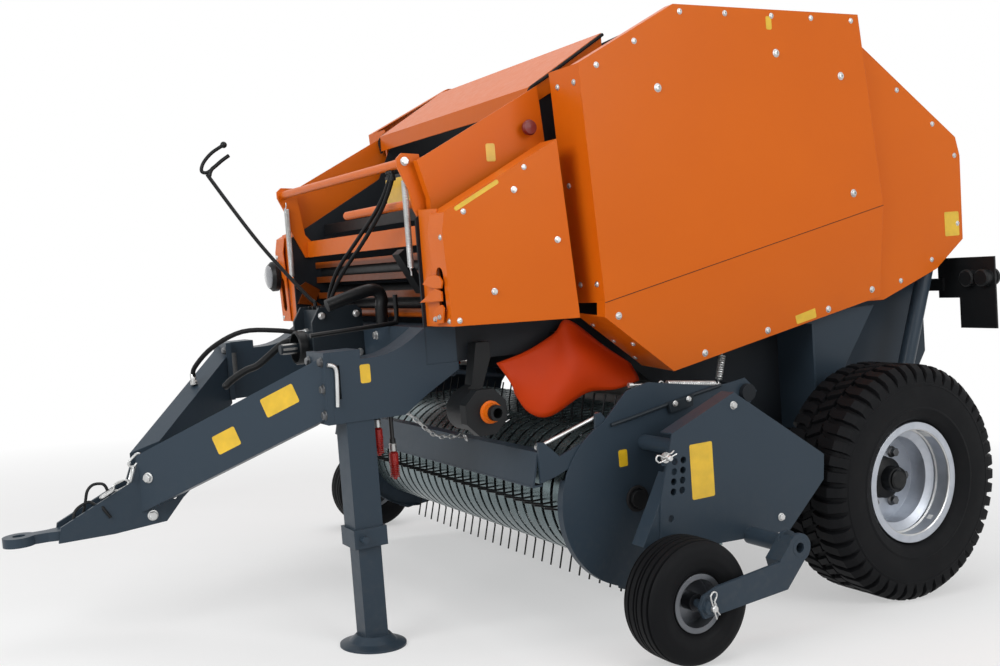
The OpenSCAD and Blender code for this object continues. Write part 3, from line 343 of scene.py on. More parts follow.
def make_camera():
    look = Vector((-sin(CAMERA_YAW) * cos(CAMERA_PITCH),
                   -cos(CAMERA_YAW) * cos(CAMERA_PITCH), -sin(CAMERA_PITCH)))
    level = look.cross(Vector((0, 0, 1))).normalized()
    above = level.cross(look)
    right = cos(CAMERA_ROLL) * level + sin(CAMERA_ROLL) * above
    up = -sin(CAMERA_ROLL) * level + cos(CAMERA_ROLL) * above
    data = bpy.data.cameras.new("camera")
    data.sensor_width = SENSOR_W
    data.lens = SENSOR_W * FOCAL_PX / IMAGE_W
    data.clip_end = CLIP_END
    camera = bpy.context.scene.camera = new_object("camera", data)
    turn = Matrix((right, up, -look)).transposed().to_4x4()
    camera.matrix_world = Matrix.Translation((CAMERA_AHEAD + AXLE.x, CAMERA_LEFT, CAMERA_UP)) @ turn


HORIZON_LIGHT, SKY_LIGHT = 0.22, 0.5
FLOOR_HALF = 40
FLOOR_TONES = (0.84, 0.84, 0.84), (0.88, 0.88, 0.88)
# The floor turns white to the eye between these distances, from a first share of glow
FLOOR_FADE = (2.6, 5.5)
FLOOR_GLOW = 0.45
# Area lights: place, target, size in metres, power in watts
LIGHTS = {"key": ((6.2, 2.4, 3.6), (0, 0, 1), (4, 3), 230),
          "fill": ((-1.5, 6.5, 3.8), (-0.5, 0, 1), (4.5, 3), 155),
          "top": ((-1, -1, 7), (0, 0, 0.8), (5, 5), 170)}


def make_sky():
    """White to the eye and in reflections; as light a dim sky that brightens towards the top."""
    world = bpy.data.worlds.new("studio")
    bpy.context.scene.world = world
    world.use_nodes = True
    sky = Nodes(world.node_tree)
    heading = sky.add("ShaderNodeTexCoord").outputs["Generated"]
    dome = sky.ramp(sky.add("ShaderNodeSeparateXYZ", heading).outputs["Z"], 0, 1, HORIZON_LIGHT, SKY_LIGHT)
    level = sky.add("ShaderNodeMix", sky.looking())
    sky.fill(level.inputs[2], dome)
    sky.fill(level.inputs[3], 1)
    back = sky.tree.nodes["Background"]
    sky.fill(back.inputs["Color"], (1, 1, 1))
    sky.fill(back.inputs["Strength"], level.outputs[0])


def make_floor():
    look = Look("floor")
    look.feed("Base Color", look.mix(look.clouds(1.3, 4, 0.2, 0.8), *FLOOR_TONES))
    look.feed("Roughness", 0.9)
    look.feed("Specular IOR Level", 0.1)
    fade = look.ramp(look.vector("LENGTH", look.place), *FLOOR_FADE, FLOOR_GLOW)
    blend = look.add("ShaderNodeMixShader", look.times(fade, look.looking()), look.shader.outputs[0],
                     look.add("ShaderNodeEmission").outputs[0])
    look.fill(look.tree.nodes["Material Output"].inputs["Surface"], blend.outputs[0])
    solid = Solid()
    h = FLOOR_HALF
    solid.add([(-h, -h, 0), (h, -h, 0), (h, h, 0), (-h, h, 0)], [(0, 1, 2, 3)])
    floor = solid.object("floor", look.material)


def make_studio():
    make_sky()
    make_floor()
    for name, (place, target, size, power) in LIGHTS.items():
        data = bpy.data.lights.new(name, "AREA")
        data.shape = "RECTANGLE"
        data.size, data.size_y = size
        data.energy = power
        new_object(name, data).matrix_world = facing(place, Vector(place) - Vector(target))


# ---- materials

DUST = (0.2, 0.17, 0.14)
# Dark brown of the painted shade inside the net box
BOX_SHADE_BROWN = (0.03, 0.008, 0.002)


def paint(name, base, deep, roughness, grime, worn=0.4, shade_heights=None):
    """Sprayed enamel: a fine orange peel, soft drifts of tone, dust low down and edges worn light.

    The last argument gives a range of heights, in metres, where a dark brown is mixed into the paint as painted
    shade."""
    look = Look(name)
    height = look.axis("Z")
    normal, edge = look.edges(0.0025) if worn else (None, look.noise(90))
    tone = look.mix(look.times(look.clouds(2.2, 3, 0.3, 0.75), 0.5), base, deep)
    dusty = look.times(look.ramp(height, 0.6, 0.05), look.clouds(38, 8, 0.48, 0.8))
    tone = look.mix(look.times(dusty, grime), tone, DUST)
    # Painted shade: a dark brown mixed into the paint between the given heights
    if shade_heights:
        low, high = shade_heights
        inside = look.times(look.ramp(height, low - 0.02, low), look.ramp(height, high + 0.03, high))
        tone = look.mix(look.times(inside, 0.84), tone, BOX_SHADE_BROWN)
    pale = tuple(min(1, 1.6 * c + 0.02) for c in base)
    scuff = look.times(edge, look.clouds(60, 5, 0.45, 0.7))
    look.feed("Base Color", look.mix(look.times(scuff, worn), tone, pale))
    look.rough(look.noise(35, 5), roughness - 0.07, roughness + 0.1)
    look.feed("Specular IOR Level", 0.18)
    look.feed("Coat Weight", 0.03)
    look.feed("Coat Roughness", 0.18)
    look.bump(look.noise(420, 2), 0.0004, 0.35, normal)
    return look.material


def metal(name, base, stain, roughness, stretch=(1, 1, 1)):
    """Plated or bare steel: fine directional grain and cloudy stains."""
    look = Look(name)
    normal, edge = look.edges(0.0012)
    tone = look.mix(look.clouds(14, 5, 0.35, 0.7), base, stain)
    look.feed("Base Color", look.mix(look.times(edge, 0.4), tone, tuple(min(1, 1.25 * c) for c in base)))
    look.feed("Metallic", 0.85)
    look.rough(look.noise(60, 4), roughness - 0.1, roughness + 0.12)
    look.bump(look.noise(220, 3, stretch), 0.0003, 0.4, normal)
    return look.material


def rubber(name, base, dust, roughness, grain, gloss=0.12):
    """Moulded rubber: fine pores and pale dust."""
    look = Look(name)
    look.feed("Base Color", look.mix(look.times(look.clouds(9, 6, 0.45, 0.8), 0.3), base, dust))
    look.feed("Specular IOR Level", gloss)
    look.rough(look.noise(30, 5), roughness - 0.08, roughness + 0.1)
    look.bump(look.noise(grain, 4), 0.0006, 0.35)
    return look.material


def plastic(name, base, roughness, coat):
    """Moulded plastic or printed film with a faint grain."""
    look = Look(name)
    deep = tuple(0.82 * c for c in base)
    look.feed("Base Color", look.mix(look.clouds(25, 4, 0.3, 0.7), base, deep))
    look.rough(look.noise(80, 3), roughness - 0.06, roughness + 0.08)
    look.feed("Coat Weight", coat)
    look.bump(look.noise(700, 2), 0.0002, 0.25)
    return look.material


SILVER, DULL_SILVER, WORN_SILVER = (0.47, 0.5, 0.55), (0.41, 0.44, 0.49), (0.72, 0.74, 0.77)
HUB_TONES = (0.018, 0.02, 0.024), (0.035, 0.037, 0.042)
RIM_HUB_R, GAUGE_HUB_R = 0.0775, 0.027
GAUGE_SHINE = 0.3


def wheel_silver(name, hub_at, hub_r, shine):
    """Galvanised wheel steel with a black hub inside hub_r of the axle; shine scales its brightness."""
    look = Look(name)
    normal, edge = look.edges(0.002)
    flat = look.vector("MULTIPLY", look.vector("SUBTRACT", look.place, hub_at), (1, 0, 1))
    outside = look.ramp(look.vector("LENGTH", flat), hub_r - 0.001, hub_r + 0.001)
    bright, dull, worn = (tuple(shine * c for c in tone) for tone in (SILVER, DULL_SILVER, WORN_SILVER))
    silver = look.mix(look.clouds(24, 6, 0.38, 0.66), bright, dull)
    silver = look.mix(look.times(edge, 0.5), silver, worn)
    look.feed("Base Color", look.mix(outside, look.mix(look.clouds(20, 4, 0.4, 0.7), *HUB_TONES), silver))
    look.feed("Metallic", 0.7)
    look.rough(look.noise(45, 4), 0.24, 0.38)
    look.bump(look.noise(500, 2), 0.0003, 0.3, normal)
    return look.material


# The two couplings on the left: forward place, and height of the hose's upper end
COUPLING_Y = 515
COUPLINGS = ((1745, 770.7), (1793, 854.7))
COUPLING_NECK = 42
GRIP_RED, DEEP_GRIP_RED = (0.4, 0.012, 0.008), (0.3, 0.009, 0.006)
HOSE_BLACK = (0.012, 0.012, 0.013)


def coupling_paint():
    """Red couplings on black hoses; the two begin at different heights."""
    look = Look("coupling_paint")
    rear, front = (at(x, COUPLING_Y, z - COUPLING_NECK) for x, z in COUPLINGS)
    ahead = look.maths("GREATER_THAN", look.axis("X"), (rear.x + front.x) / 2)
    above = look.maths("SUBTRACT", look.axis("Z"), look.ramp(ahead, 0, 1, rear.z, front.z))
    red = look.mix(look.clouds(25, 4, 0.3, 0.7), GRIP_RED, DEEP_GRIP_RED)
    look.feed("Base Color", look.mix(look.ramp(above, 0, 0.001), red, HOSE_BLACK))
    look.rough(look.noise(80, 3), 0.3, 0.45)
    look.bump(look.noise(700, 2), 0.0002, 0.25)
    return look.material


ENAMEL = (0.655, 0.129, 0.004), (0.59, 0.109, 0.003)
BLACK_ENAMEL = (0.008, 0.009, 0.01), (0.013, 0.014, 0.015)
# Heights in the net box where its orange is darkened as painted shade
NET_BOX_SHADE_HEIGHTS = (1.05, 1.235)
ACROSS = (1, 0.05, 1)

ORANGE = paint("orange_paint", *ENAMEL, 0.34, 0.06)
NET_PAINT = paint("net_box_paint", *ENAMEL, 0.34, 0.06, shade_heights=NET_BOX_SHADE_HEIGHTS)
ANTHRACITE = paint("anthracite_paint", (0.03, 0.046, 0.064), (0.025, 0.038, 0.053), 0.38, 0.1)
# The gate walls: anthracite darkened as painted shade
GATE_SHADE_PAINT = paint("gate_shade_paint", (0.02, 0.031, 0.044), (0.016, 0.025, 0.036), 0.4, 0.1)
# Anthracite darkened as painted shade, for the gearbox and the pickup's guide
SHADED_ANTHRACITE = paint("shaded_anthracite_paint", (0.017, 0.024, 0.031), (0.013, 0.018, 0.023), 0.4, 0.1)
SHADED = paint("chamber_paint", (0.012, 0.015, 0.019), (0.009, 0.012, 0.015), 0.5, 0.1)
BLACK = paint("black_paint", *BLACK_ENAMEL, 0.42, 0.12)
BAR = paint("black_bar", *BLACK_ENAMEL, 0.36, 0.1, worn=0)
BAND = metal("band_steel", (0.17, 0.225, 0.235), (0.14, 0.187, 0.196), 0.27, ACROSS)
STEEL = metal("roller_steel", (0.26, 0.26, 0.255), (0.222, 0.218, 0.212), 0.42, (1, 0.04, 1))
ZINC = metal("zinc_plate", (0.62, 0.63, 0.63), (0.45, 0.45, 0.44), 0.36)
DARK_ZINC = metal("dark_bolt", (0.16, 0.165, 0.17), (0.08, 0.08, 0.085), 0.4)
TYRE = rubber("tyre_rubber", (0.0058, 0.0062, 0.0072), (0.013, 0.013, 0.0135), 0.58, 380, 0.09)
HOSE = rubber("hose_rubber", (0.01, 0.01, 0.011), (0.02, 0.02, 0.02), 0.45, 900)
SEAL = rubber("seal_rubber", (0.014, 0.014, 0.015), (0.03, 0.03, 0.03), 0.7, 500)
APRON = rubber("apron_sheet", (0.52, 0.042, 0.003), (0.38, 0.026, 0.002), 0.45, 260)
RED = plastic("red_grip", GRIP_RED, 0.35, 0.3)
# The knob is red; its red is darkened as painted shade
SHADED_RED = plastic("shaded_red_knob", (0.17, 0.012, 0.01), 0.42, 0.1)
LABEL = plastic("label_film", (0.8, 0.5, 0.02), 0.32, 0.2)
PALE_LABEL = plastic("pale_label", (0.8, 0.81, 0.8), 0.4, 0.1)
LENS_RED = plastic("lens_red", (0.35, 0.01, 0.01), 0.12, 0.8)
LENS_AMBER = plastic("lens_amber", (0.55, 0.14, 0.01), 0.12, 0.8)
LENS_CLEAR = plastic("lens_clear", (0.21, 0.22, 0.24), 0.12, 0.8)

# The looks of each material slot in the record; a CAD node takes the first one
SLOT_LOOKS = {"orange": (ORANGE, LABEL), "anthracite": (ANTHRACITE, SHADED_ANTHRACITE),
              "black": (BLACK, BAR, LENS_CLEAR), "steel": (STEEL,), "zinc": (ZINC, DARK_ZINC),
              "tyre": (TYRE, SEAL), "hose": (HOSE,), "apron": (APRON,), "rim_silver": (PALE_LABEL,),
              "red": (RED, SHADED_RED, LENS_RED, LENS_AMBER)}


def dress_nodes():
    """Gives every CAD node its material."""
    slots = {s["node"]: s["material_slot"] for s in frame["record"]["subparts"]}
    special = {"strippers": BAND, "net_frame": NET_PAINT, "gearbox": SHADED_ANTHRACITE, "couplings": coupling_paint()}
    for side, _ in SIDES:
        special[f"{side}_rim"] = wheel_silver(f"{side}_rim_paint", JOINT_AT[f"{side}_wheel_spin"], RIM_HUB_R, 1)
        special[f"{side}_gauge_rim"] = wheel_silver(f"{side}_gauge_paint", JOINT_AT[f"{side}_gauge_spin"],
                                                    GAUGE_HUB_R, GAUGE_SHINE)
        special[f"{side}_chamber_wall"] = SHADED
        special[f"{side}_gate_wall"] = GATE_SHADE_PAINT
        special[f"{side}_ram_barrel"] = ANTHRACITE
    for name, node in frame["nodes"].items():
        node.data.materials.clear()
        node.data.materials.append(special.get(name) or SLOT_LOOKS[slots[name]][0])


# ---- cords

GEARBOX_FRONT, GEARBOX_TOP = 1795.3, 1190.3
NET_TUBE_UNDER = 1631.7
HOSE_END = (2155, -334.2, 942.9)
HOSE_D, NET_HOSE_D = 0.018, 0.014
# A ferrule's profile, in shares of the hose's radius
FERRULE = [(1.5, 1.4), (1.22, 1.6), (1.22, 4.4), (1.05, 4.7), (0.4, 4.7)]


def cord(name, points, diameter, node, fitting):
    """A hose held at both ends, along the same route as its CAD solid."""
    route = smooth_route([at(*p) for p in points], 5)
    r = diameter / 2
    data = bpy.data.curves.new(name, "CURVE")
    data.dimensions = "3D"
    data.bevel_depth = r
    data.bevel_resolution = 3
    data.use_fill_caps = True
    spline = data.splines.new("POLY")
    spline.points.add(len(route) - 1)
    for point, p in zip(spline.points, route):
        point.co = (*p, 1)
    data.materials.append(HOSE)
    made = new_object(name, data)
    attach(made, "root")
    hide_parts(node)
    ferrules = Solid()
    for end, inside in ((route[0], route[2]), (route[-1], route[-3])):
        ferrules.hoop([(r * 0.4, 0.0005), (r * 1.5, 0.0005)] + [(r * a, r * b) for a, b in FERRULE],
                      facing(end, inside - end), 16)
    ends = ferrules.piece(f"{name}_ferrules", fitting, slot="zinc")


def make_cords():
    x, y, z = HOSE_END
    cord("drawbar_hose_line",
         [(GEARBOX_FRONT, -60, 1110), (1830, -60, 1110), (1900, -80, 1125), (2010, -150, 1130),
          (2100, -235, 1080), (x - 5, y + 12, z + 65), (x, y, z + 25), HOSE_END],
         HOSE_D, "drawbar_hose", ZINC)
    for name, shift, sag in (("first", 0, 0), ("second", 24, 22)):
        cord(f"net_hose_{name}",
             [(1664, 470 + shift, NET_TUBE_UNDER), (1664, 468 + shift, 1600), (1680, 400 + shift, 1520 - sag / 2),
              (1695, 250 + shift, 1430 - sag), (1720, 100 + shift, 1330 - sag), (1740, 50 + shift, 1250 - sag / 2),
              (1740, 40 + shift, 1215), (1740, 40 + shift, GEARBOX_TOP)],
             NET_HOSE_D, "net_hoses", BLACK)


# ---- wheels

TYRE_W, GAUGE_W = 0.29, 0.156
RIM_R, GAUGE_RIM_R = 0.215, 0.088
BEAD_R, GAUGE_BEAD_R = RIM_R - 0.018, GAUGE_RIM_R - 0.008
TYRE_SIDES, GAUGE_SIDES = 144, 96
LUG_H = 0.016
BLOCKS = 48
BLOCK_SHARE = 0.7
SHOULDER_DEPTH, MIDDLE_DEPTH = 0.03, 0.022
# One side of a carcass: radius, and distance from the middle plane as a share of the width
CARCASS = [(BEAD_R, 0.36), (RIM_R + 0.004, 0.36), (RIM_R + 0.012, 0.415), (RIM_R + 0.024, 0.455),
           (0.262, 0.48), (0.2635, 0.486), (0.27, 0.486), (0.2715, 0.483), (0.3, 0.493),
           (0.33, 0.494), (0.348, 0.489), (0.349, 0.493), (0.354, 0.491), (0.355, 0.485),
           (0.372, 0.462), (0.388, 0.425), (0.399, 0.375), (WHEEL_R - LUG_H, 0.32),
           (WHEEL_R - LUG_H + 0.0005, 0.16)]
GAUGE_CARCASS = [(GAUGE_BEAD_R, 0.36), (GAUGE_RIM_R + 0.004, 0.36), (0.1, 0.43), (0.112, 0.475),
                 (0.128, 0.492), (0.13, 0.498), (0.14, 0.499), (0.142, 0.496), (0.158, 0.488),
                 (0.172, 0.455), (0.181, 0.405), (0.1835, 0.375), (0.1785, 0.365), (0.1785, 0.335),
                 (0.186, 0.325), (0.1875, 0.235), (0.1805, 0.225), (0.1805, 0.19), (0.188, 0.18),
                 (0.188, 0.07), (0.1812, 0.06), (0.1812, 0.028), (0.188, 0.018)]
# Stations across a tread block: share of the width, depth of its top below the tread, slant along the tread
SHOULDER = [(0.115, 0.0012, -0.016), (0.2, 0.0006, -0.004), (0.37, 0.0012, 0), (0.455, 0.021, 0),
            (0.482, 0.036, 0)]
MIDDLE = [(-0.09, 0.0012, 0.012), (0, 0.0006, 0), (0.09, 0.0012, -0.012)]


def carcass(profile, width, place, sides):
    """A tyre's body, with the same profile on both sides."""
    half = [(r, share * width) for r, share in profile]
    solid = Solid()
    solid.hoop(half + [(r, -h) for r, h in reversed(half)], place, sides)
    return solid


def tread_block(solid, stations, angle, half, depth, flip, place):
    """One block, as a ring of four corners at each station across the tread."""
    rings = []
    for share, drop, slant in stations:
        ring = []
        for r, half_here, edges in ((WHEEL_R - drop - depth, half * 1.15, (-1, 1)),
                                    (WHEEL_R - drop, half * 0.86, (1, -1))):
            for edge in edges:
                a = angle + (slant * flip + edge * half_here) / WHEEL_R
                ring.append(polar(r, a, flip * share * TYRE_W))
        rings.append(ring)
    solid.rings(rings, place)


def make_tyres(side, sign):
    place = facing(JOINT_AT[f"{side}_wheel_spin"], (0, sign, 0))
    solid = carcass(CARCASS, TYRE_W, place, TYRE_SIDES)
    pitch = TURN / BLOCKS
    wide = pitch * WHEEL_R * BLOCK_SHARE / 2
    for k in range(BLOCKS):
        tread_block(solid, SHOULDER, k * pitch, wide, SHOULDER_DEPTH, 1, place)
        tread_block(solid, SHOULDER, (k + 0.5) * pitch, wide, SHOULDER_DEPTH, -1, place)
        tread_block(solid, MIDDLE, (k + 0.25) * pitch, wide * 0.8, MIDDLE_DEPTH, 1, place)
    solid.piece(f"{side}_tyre_tread", TYRE, f"{side}_tyre", body=f"{side}_wheel")
    place = facing(JOINT_AT[f"{side}_gauge_spin"], (0, sign, 0))
    gauge = carcass(GAUGE_CARCASS, GAUGE_W, place, GAUGE_SIDES)
    gauge.piece(f"{side}_gauge_tread", TYRE, f"{side}_gauge_tyre", body=f"{side}_gauge_wheel")


STUDS = 6
STUD_R = 0.1025
DISC_OUT = -0.033
WELL_R = BEAD_R - 0.0074
NUT_WASHER = [(0, 0), (0.021, 0), (0.021, 0.003), (0.016, 0.008), (0, 0.008)]
NUT = [(0, 0.008), (0.0165, 0.008), (0.0165, 0.02), (0.0145, 0.0225), (0, 0.0225)]
CAP_RING = [(0.04, -0.014), (0.074, -0.014), (0.074, -0.008), (0.066, -0.003), (0.046, 0.004),
            (0.046, 0.0395), (0.044, 0.0425), (0.04, 0.0425)]
CAP_END = [(0, 0.041), (0.036, 0.041), (0.036, 0.046), (0.03, 0.051), (0, 0.053)]
VALVE = [(0, -0.008), (0.0085, -0.008), (0.0075, 0.01), (0.0045, 0.014), (0.0045, 0.03),
         (0.0058, 0.031), (0.0058, 0.042), (0.003, 0.044), (0, 0.044)]
VALVE_TURN, VALVE_LEAN, VALVE_OUT = 2.2, -0.5, 0.05
# Rolled steps in the rim's well: from, to, rise
RIM_STEPS = ((0.049, 0.058, 0.006), (0.101, 0.113, 0.0035))
# Blank labels in the rim's well: turn, half their angle, from, to
RIM_LABELS = ((1.05, 0.11, 0.062, 0.096), (-0.85, 0.05, 0.068, 0.088))
FILM_T = 0.0008


def make_wheel_hardware(side, sign):
    """Nuts with cone washers, valve, hub cap rings, rolled steps and blank labels on the rim."""
    middle = facing(JOINT_AT[f"{side}_wheel_spin"], (0, sign, 0))
    wheel = f"{side}_wheel"

    def around(turn, r, h):
        return middle @ Matrix.Rotation(turn, 4, "Z") @ Matrix.Translation((r, 0, h))
    nuts, cap, valve, steps, tag = (Solid() for _ in range(5))
    for turn in circle(STUDS):
        nuts.lathe(NUT_WASHER, around(turn, STUD_R, DISC_OUT), 20)
        nuts.lathe(NUT, around(turn, STUD_R, DISC_OUT), 6)
    nuts.piece(f"{side}_wheel_nuts", DARK_ZINC, body=wheel)
    cap.hoop(CAP_RING, middle, 40)
    cap.lathe(CAP_END, middle, 32)
    cap.piece(f"{side}_hub_cap", BLACK, body=wheel)
    valve_at = around(VALVE_TURN, BEAD_R - 0.012, VALVE_OUT)
    valve.lathe(VALVE, valve_at @ Matrix.Rotation(VALVE_LEAN, 4, "Y"), 14)
    valve.piece(f"{side}_valve", SEAL, body=wheel)
    for low, high, rise in RIM_STEPS:
        steps.hoop([(WELL_R + 0.001, low), (WELL_R - rise, low + 0.003), (WELL_R - rise, high - 0.003),
                    (WELL_R + 0.001, high)], middle, 96)
    steps.piece(f"{side}_rim_steps", ZINC, body=wheel, slot="rim_silver")
    for turn, half_angle, low, high in RIM_LABELS:
        corners = ((WELL_R, low), (WELL_R - FILM_T, low), (WELL_R - FILM_T, high), (WELL_R, high))
        tag.rings([[polar(r, a, h) for r, h in corners]
                   for a in (turn + half_angle * k / 4 for k in range(-4, 5))], middle)
    tag.piece(f"{side}_rim_labels", PALE_LABEL, body=wheel)


# ---- fasteners

BOLT_TURN = 0.3
# Heads in shares of the thread's diameter
WASHER = [(0, 0), (1.1, 0), (1.1, 0.16), (1, 0.2), (0, 0.2)]
HEXAGON = [(0, 0.2), (0.92, 0.2), (0.92, 0.72), (0.8, 0.84), (0, 0.86)]
ROUND_HEAD = [(0, 0), (1.15, 0), (1.15, 0.12), (0.95, 0.16), (0.95, 0.3), (0.75, 0.52), (0.38, 0.6),
              (0.32, 0.3), (0, 0.3)]


def scaled(profile, d):
    return [(a * d * MM, b * d * MM) for a, b in profile]


def bolt(solid, point, normal, d):
    """A hexagon head on a washer, d across the thread in millimetres."""
    place = facing(point, normal, BOLT_TURN)
    solid.lathe(scaled(WASHER, d), place, 18)
    solid.lathe(scaled(HEXAGON, d), place, 6)


def screw(solid, point, normal, d):
    """A low round head with a recess, on a washer."""
    solid.lathe(scaled(ROUND_HEAD, d), facing(point, normal), 14)


def side_row(solid, head, d, places, y, s=1):
    """Heads of one kind on an outer face, at places along and up."""
    for x, z in places:
        head(solid, at(x, s * y, z), s * LEFT, d)


def front_row(solid, head, d, places, x):
    """Heads of one kind on a front face, at places across and up."""
    for y, z in places:
        head(solid, at(x, y, z), AHEAD, d)


SHIELD_Y = outer("left_main_shield")
GATE_SHIELD_Y = outer("left_gate_shield")
COVER_Y = outer("left_lower_cover")
CHEEK_Y = outer("left_cheek")
HOOD_HALF = outer("hood")
PICKUP_OUT = 868
PLATE_OUT = 1091
WALL_SEAT = 608.3

# The main shield: its crease, the lean and lower edge of the panel below it, and its front flange
CREASE_REAR, CREASE_FRONT = Vector((-181, 1418)), Vector((1112, 1157))
LOWER_LEAN = radians(4)
LOWER_EDGE_FRONT, LOWER_EDGE_REAR = Vector((1114, 1110)), Vector((836, 902))
FLANGE_W = 175
FLANGE_SLOPE = 43 / 763
FLANGE_NORMAL = along(0.998, 0, -0.056)
# The foot of a lower cover's front, and how it leans
COVER_FOOT, COVER_SLOPE = Vector((1640, 1128)), 10 / 292


def lower_panel_y(x, z):
    """How far out the main shield's leaning lower panel is at a place below its crease."""
    run = (CREASE_FRONT - CREASE_REAR).normalized()
    below = run.x * (CREASE_REAR.y - z) + run.y * (x - CREASE_REAR.x)
    return SHIELD_Y - 0.5 - tan(LOWER_LEAN) * below


def cover_front(z):
    """How far forward the front of a lower cover is at a height."""
    return COVER_FOOT.x + (z - COVER_FOOT.y) * COVER_SLOPE


SHIELD_SCREWS = [(735, 2098), (540, 2100), (329, 2100), (140, 2100), (-60, 2098), (930, 1995), (1085, 1915)]
FIELD_SCREWS = [(846, 1845), (317, 1971), (7, 1896), (-27, 1468)]
LOWER_SCREWS = [(700, 950), (410, 1000), (110, 1050), (-120, 1105), (1060, 1110)]
# On the front flange: height and share of its width; on the lower wrap: share of its length and how far inward
FLANGE_SCREWS = [(1865, 0.75), (1544, 0.75), (1217, 0.75), (1865, 0.2), (1217, 0.2)]
WRAP_SCREWS = [(0.2, 150), (0.5, 150), (0.82, 150), (0.5, 40)]
COVER_BOLTS = [(1391, 1534), (1243, 1370), (1486, 1223)]
COVER_SCREWS = [(1348, 1603), (1574, 1474), (1614, 1144)]
COVER_FRONT_SCREWS, COVER_LIP = (1144, 1400), 18
GATE_SCREWS = [(-135, 1990), (-135, 1700), (-135, 1400), (-135, 1110), (-330, 1855), (-520, 1725),
               (-640, 1600), (-640, 1330), (-480, 1195), (-300, 1125)]
PLATE_BOLTS = [(812, 804), (638, 412)]
REEL_AT = (1050, 510)
SHAFT_SEAL = [(0.033, 0.0005), (0.043, 0.0005), (0.043, 0.005), (0.04, 0.008), (0.033, 0.008)]


def make_fasteners():
    for side, s in SIDES:
        shield, covers, gate, pickup, ring = (Solid() for _ in range(5))
        side_row(shield, screw, 9, SHIELD_SCREWS, SHIELD_Y, s)
        side_row(shield, screw, 13, FIELD_SCREWS, SHIELD_Y, s)
        lean_out = along(0, s * cos(LOWER_LEAN), -sin(LOWER_LEAN))
        for x, z in LOWER_SCREWS:
            screw(shield, at(x, s * lower_panel_y(x, z), z), lean_out, 11)
        for z, share in FLANGE_SCREWS:
            x = CREASE_FRONT.x + (z - CREASE_FRONT.y) * FLANGE_SLOPE
            screw(shield, at(x, s * (SHIELD_Y - share * FLANGE_W), z), FLANGE_NORMAL, 9)
        fall = LOWER_EDGE_REAR - LOWER_EDGE_FRONT
        down = along(-fall.y, 0, fall.x)
        for share, inward in WRAP_SCREWS:
            x, z = LOWER_EDGE_FRONT + share * fall
            lift = sin(LOWER_LEAN) * inward
            screw(shield, at(x, s * (lower_panel_y(x, z) - inward), z + lift), down, 9)
        shield.piece(f"{side}_shield_screws", ZINC)

        side_row(covers, bolt, 10, COVER_BOLTS, COVER_Y, s)
        side_row(covers, screw, 8, COVER_SCREWS, COVER_Y, s)
        for z in COVER_FRONT_SCREWS:
            front_row(covers, screw, 8, [(s * (COVER_Y - COVER_LIP), z)], cover_front(z))
        covers.piece(f"{side}_cover_bolts", ZINC)

        side_row(gate, screw, 9, GATE_SCREWS, GATE_SHIELD_Y, s)
        gate.piece(f"{side}_gate_screws", ZINC, body="gate")
        side_row(pickup, bolt, 12, PLATE_BOLTS, PLATE_OUT, s)
        pickup.piece(f"{side}_pickup_bolts", ZINC, body="pickup")
        ring.hoop(SHAFT_SEAL, facing(at(REEL_AT[0], s * PICKUP_OUT, REEL_AT[1]), s * LEFT), 36)
        ring.piece(f"{side}_shaft_seal", SEAL, body="pickup")


# ---- labels and trim

LABEL_CORNER = 0.006
CORNER_STEPS = 3
LABEL_LIFT, LABEL_TOP = 0.0001, 0.0007


def rounded(width, height):
    """A rounded rectangle about the origin."""
    return [(cx * (width / 2 - LABEL_CORNER) + LABEL_CORNER * cos(a),
             cy * (height / 2 - LABEL_CORNER) + LABEL_CORNER * sin(a))
            for cx, cy, start in ((1, 1, 0), (-1, 1, 1), (-1, -1, 2), (1, -1, 3))
            for a in ((start + k / CORNER_STEPS) * pi / 2 for k in range(CORNER_STEPS + 1))]


def label(solid, point, width, height, normal=LEFT, up=UP):
    """A blank film label in millimetres, its height along up."""
    u = (up - normal * up.dot(normal)).normalized()
    turn = Matrix((u.cross(normal), u, normal)).transposed().to_4x4()
    solid.prism(rounded(width * MM, height * MM), LABEL_LIFT, LABEL_TOP, Matrix.Translation(point) @ turn)


ARM_REAR, ARM_FRONT = Vector((1970, 545, 960)), Vector((2400, 55, 690))
ARM_HALF = 38


def arm_face(reach, above, s):
    """A place on the outer face of a drawbar arm, its normal and the arm's direction."""
    run = (ARM_FRONT - ARM_REAR).xy
    flat = run.normalized()
    slope = (ARM_FRONT.z - ARM_REAR.z) / run.length
    x, y = ARM_REAR.x + flat.x * reach - flat.y * ARM_HALF, ARM_REAR.y + flat.y * reach + flat.x * ARM_HALF
    return (at(x, s * y, ARM_REAR.z + slope * reach + above), along(-flat.y, s * flat.x, 0),
            along(flat.x, s * flat.y, slope))


# Labels on the drawbar's arm: reach along it, place above its middle, width
ARM_LABELS = ((345, -5, 92), (140, 32, 128))
ARM_LABEL_H = 62
COVER_EDGE = Vector((1640 - 1220, 0, 1475 - 1690)).normalized()


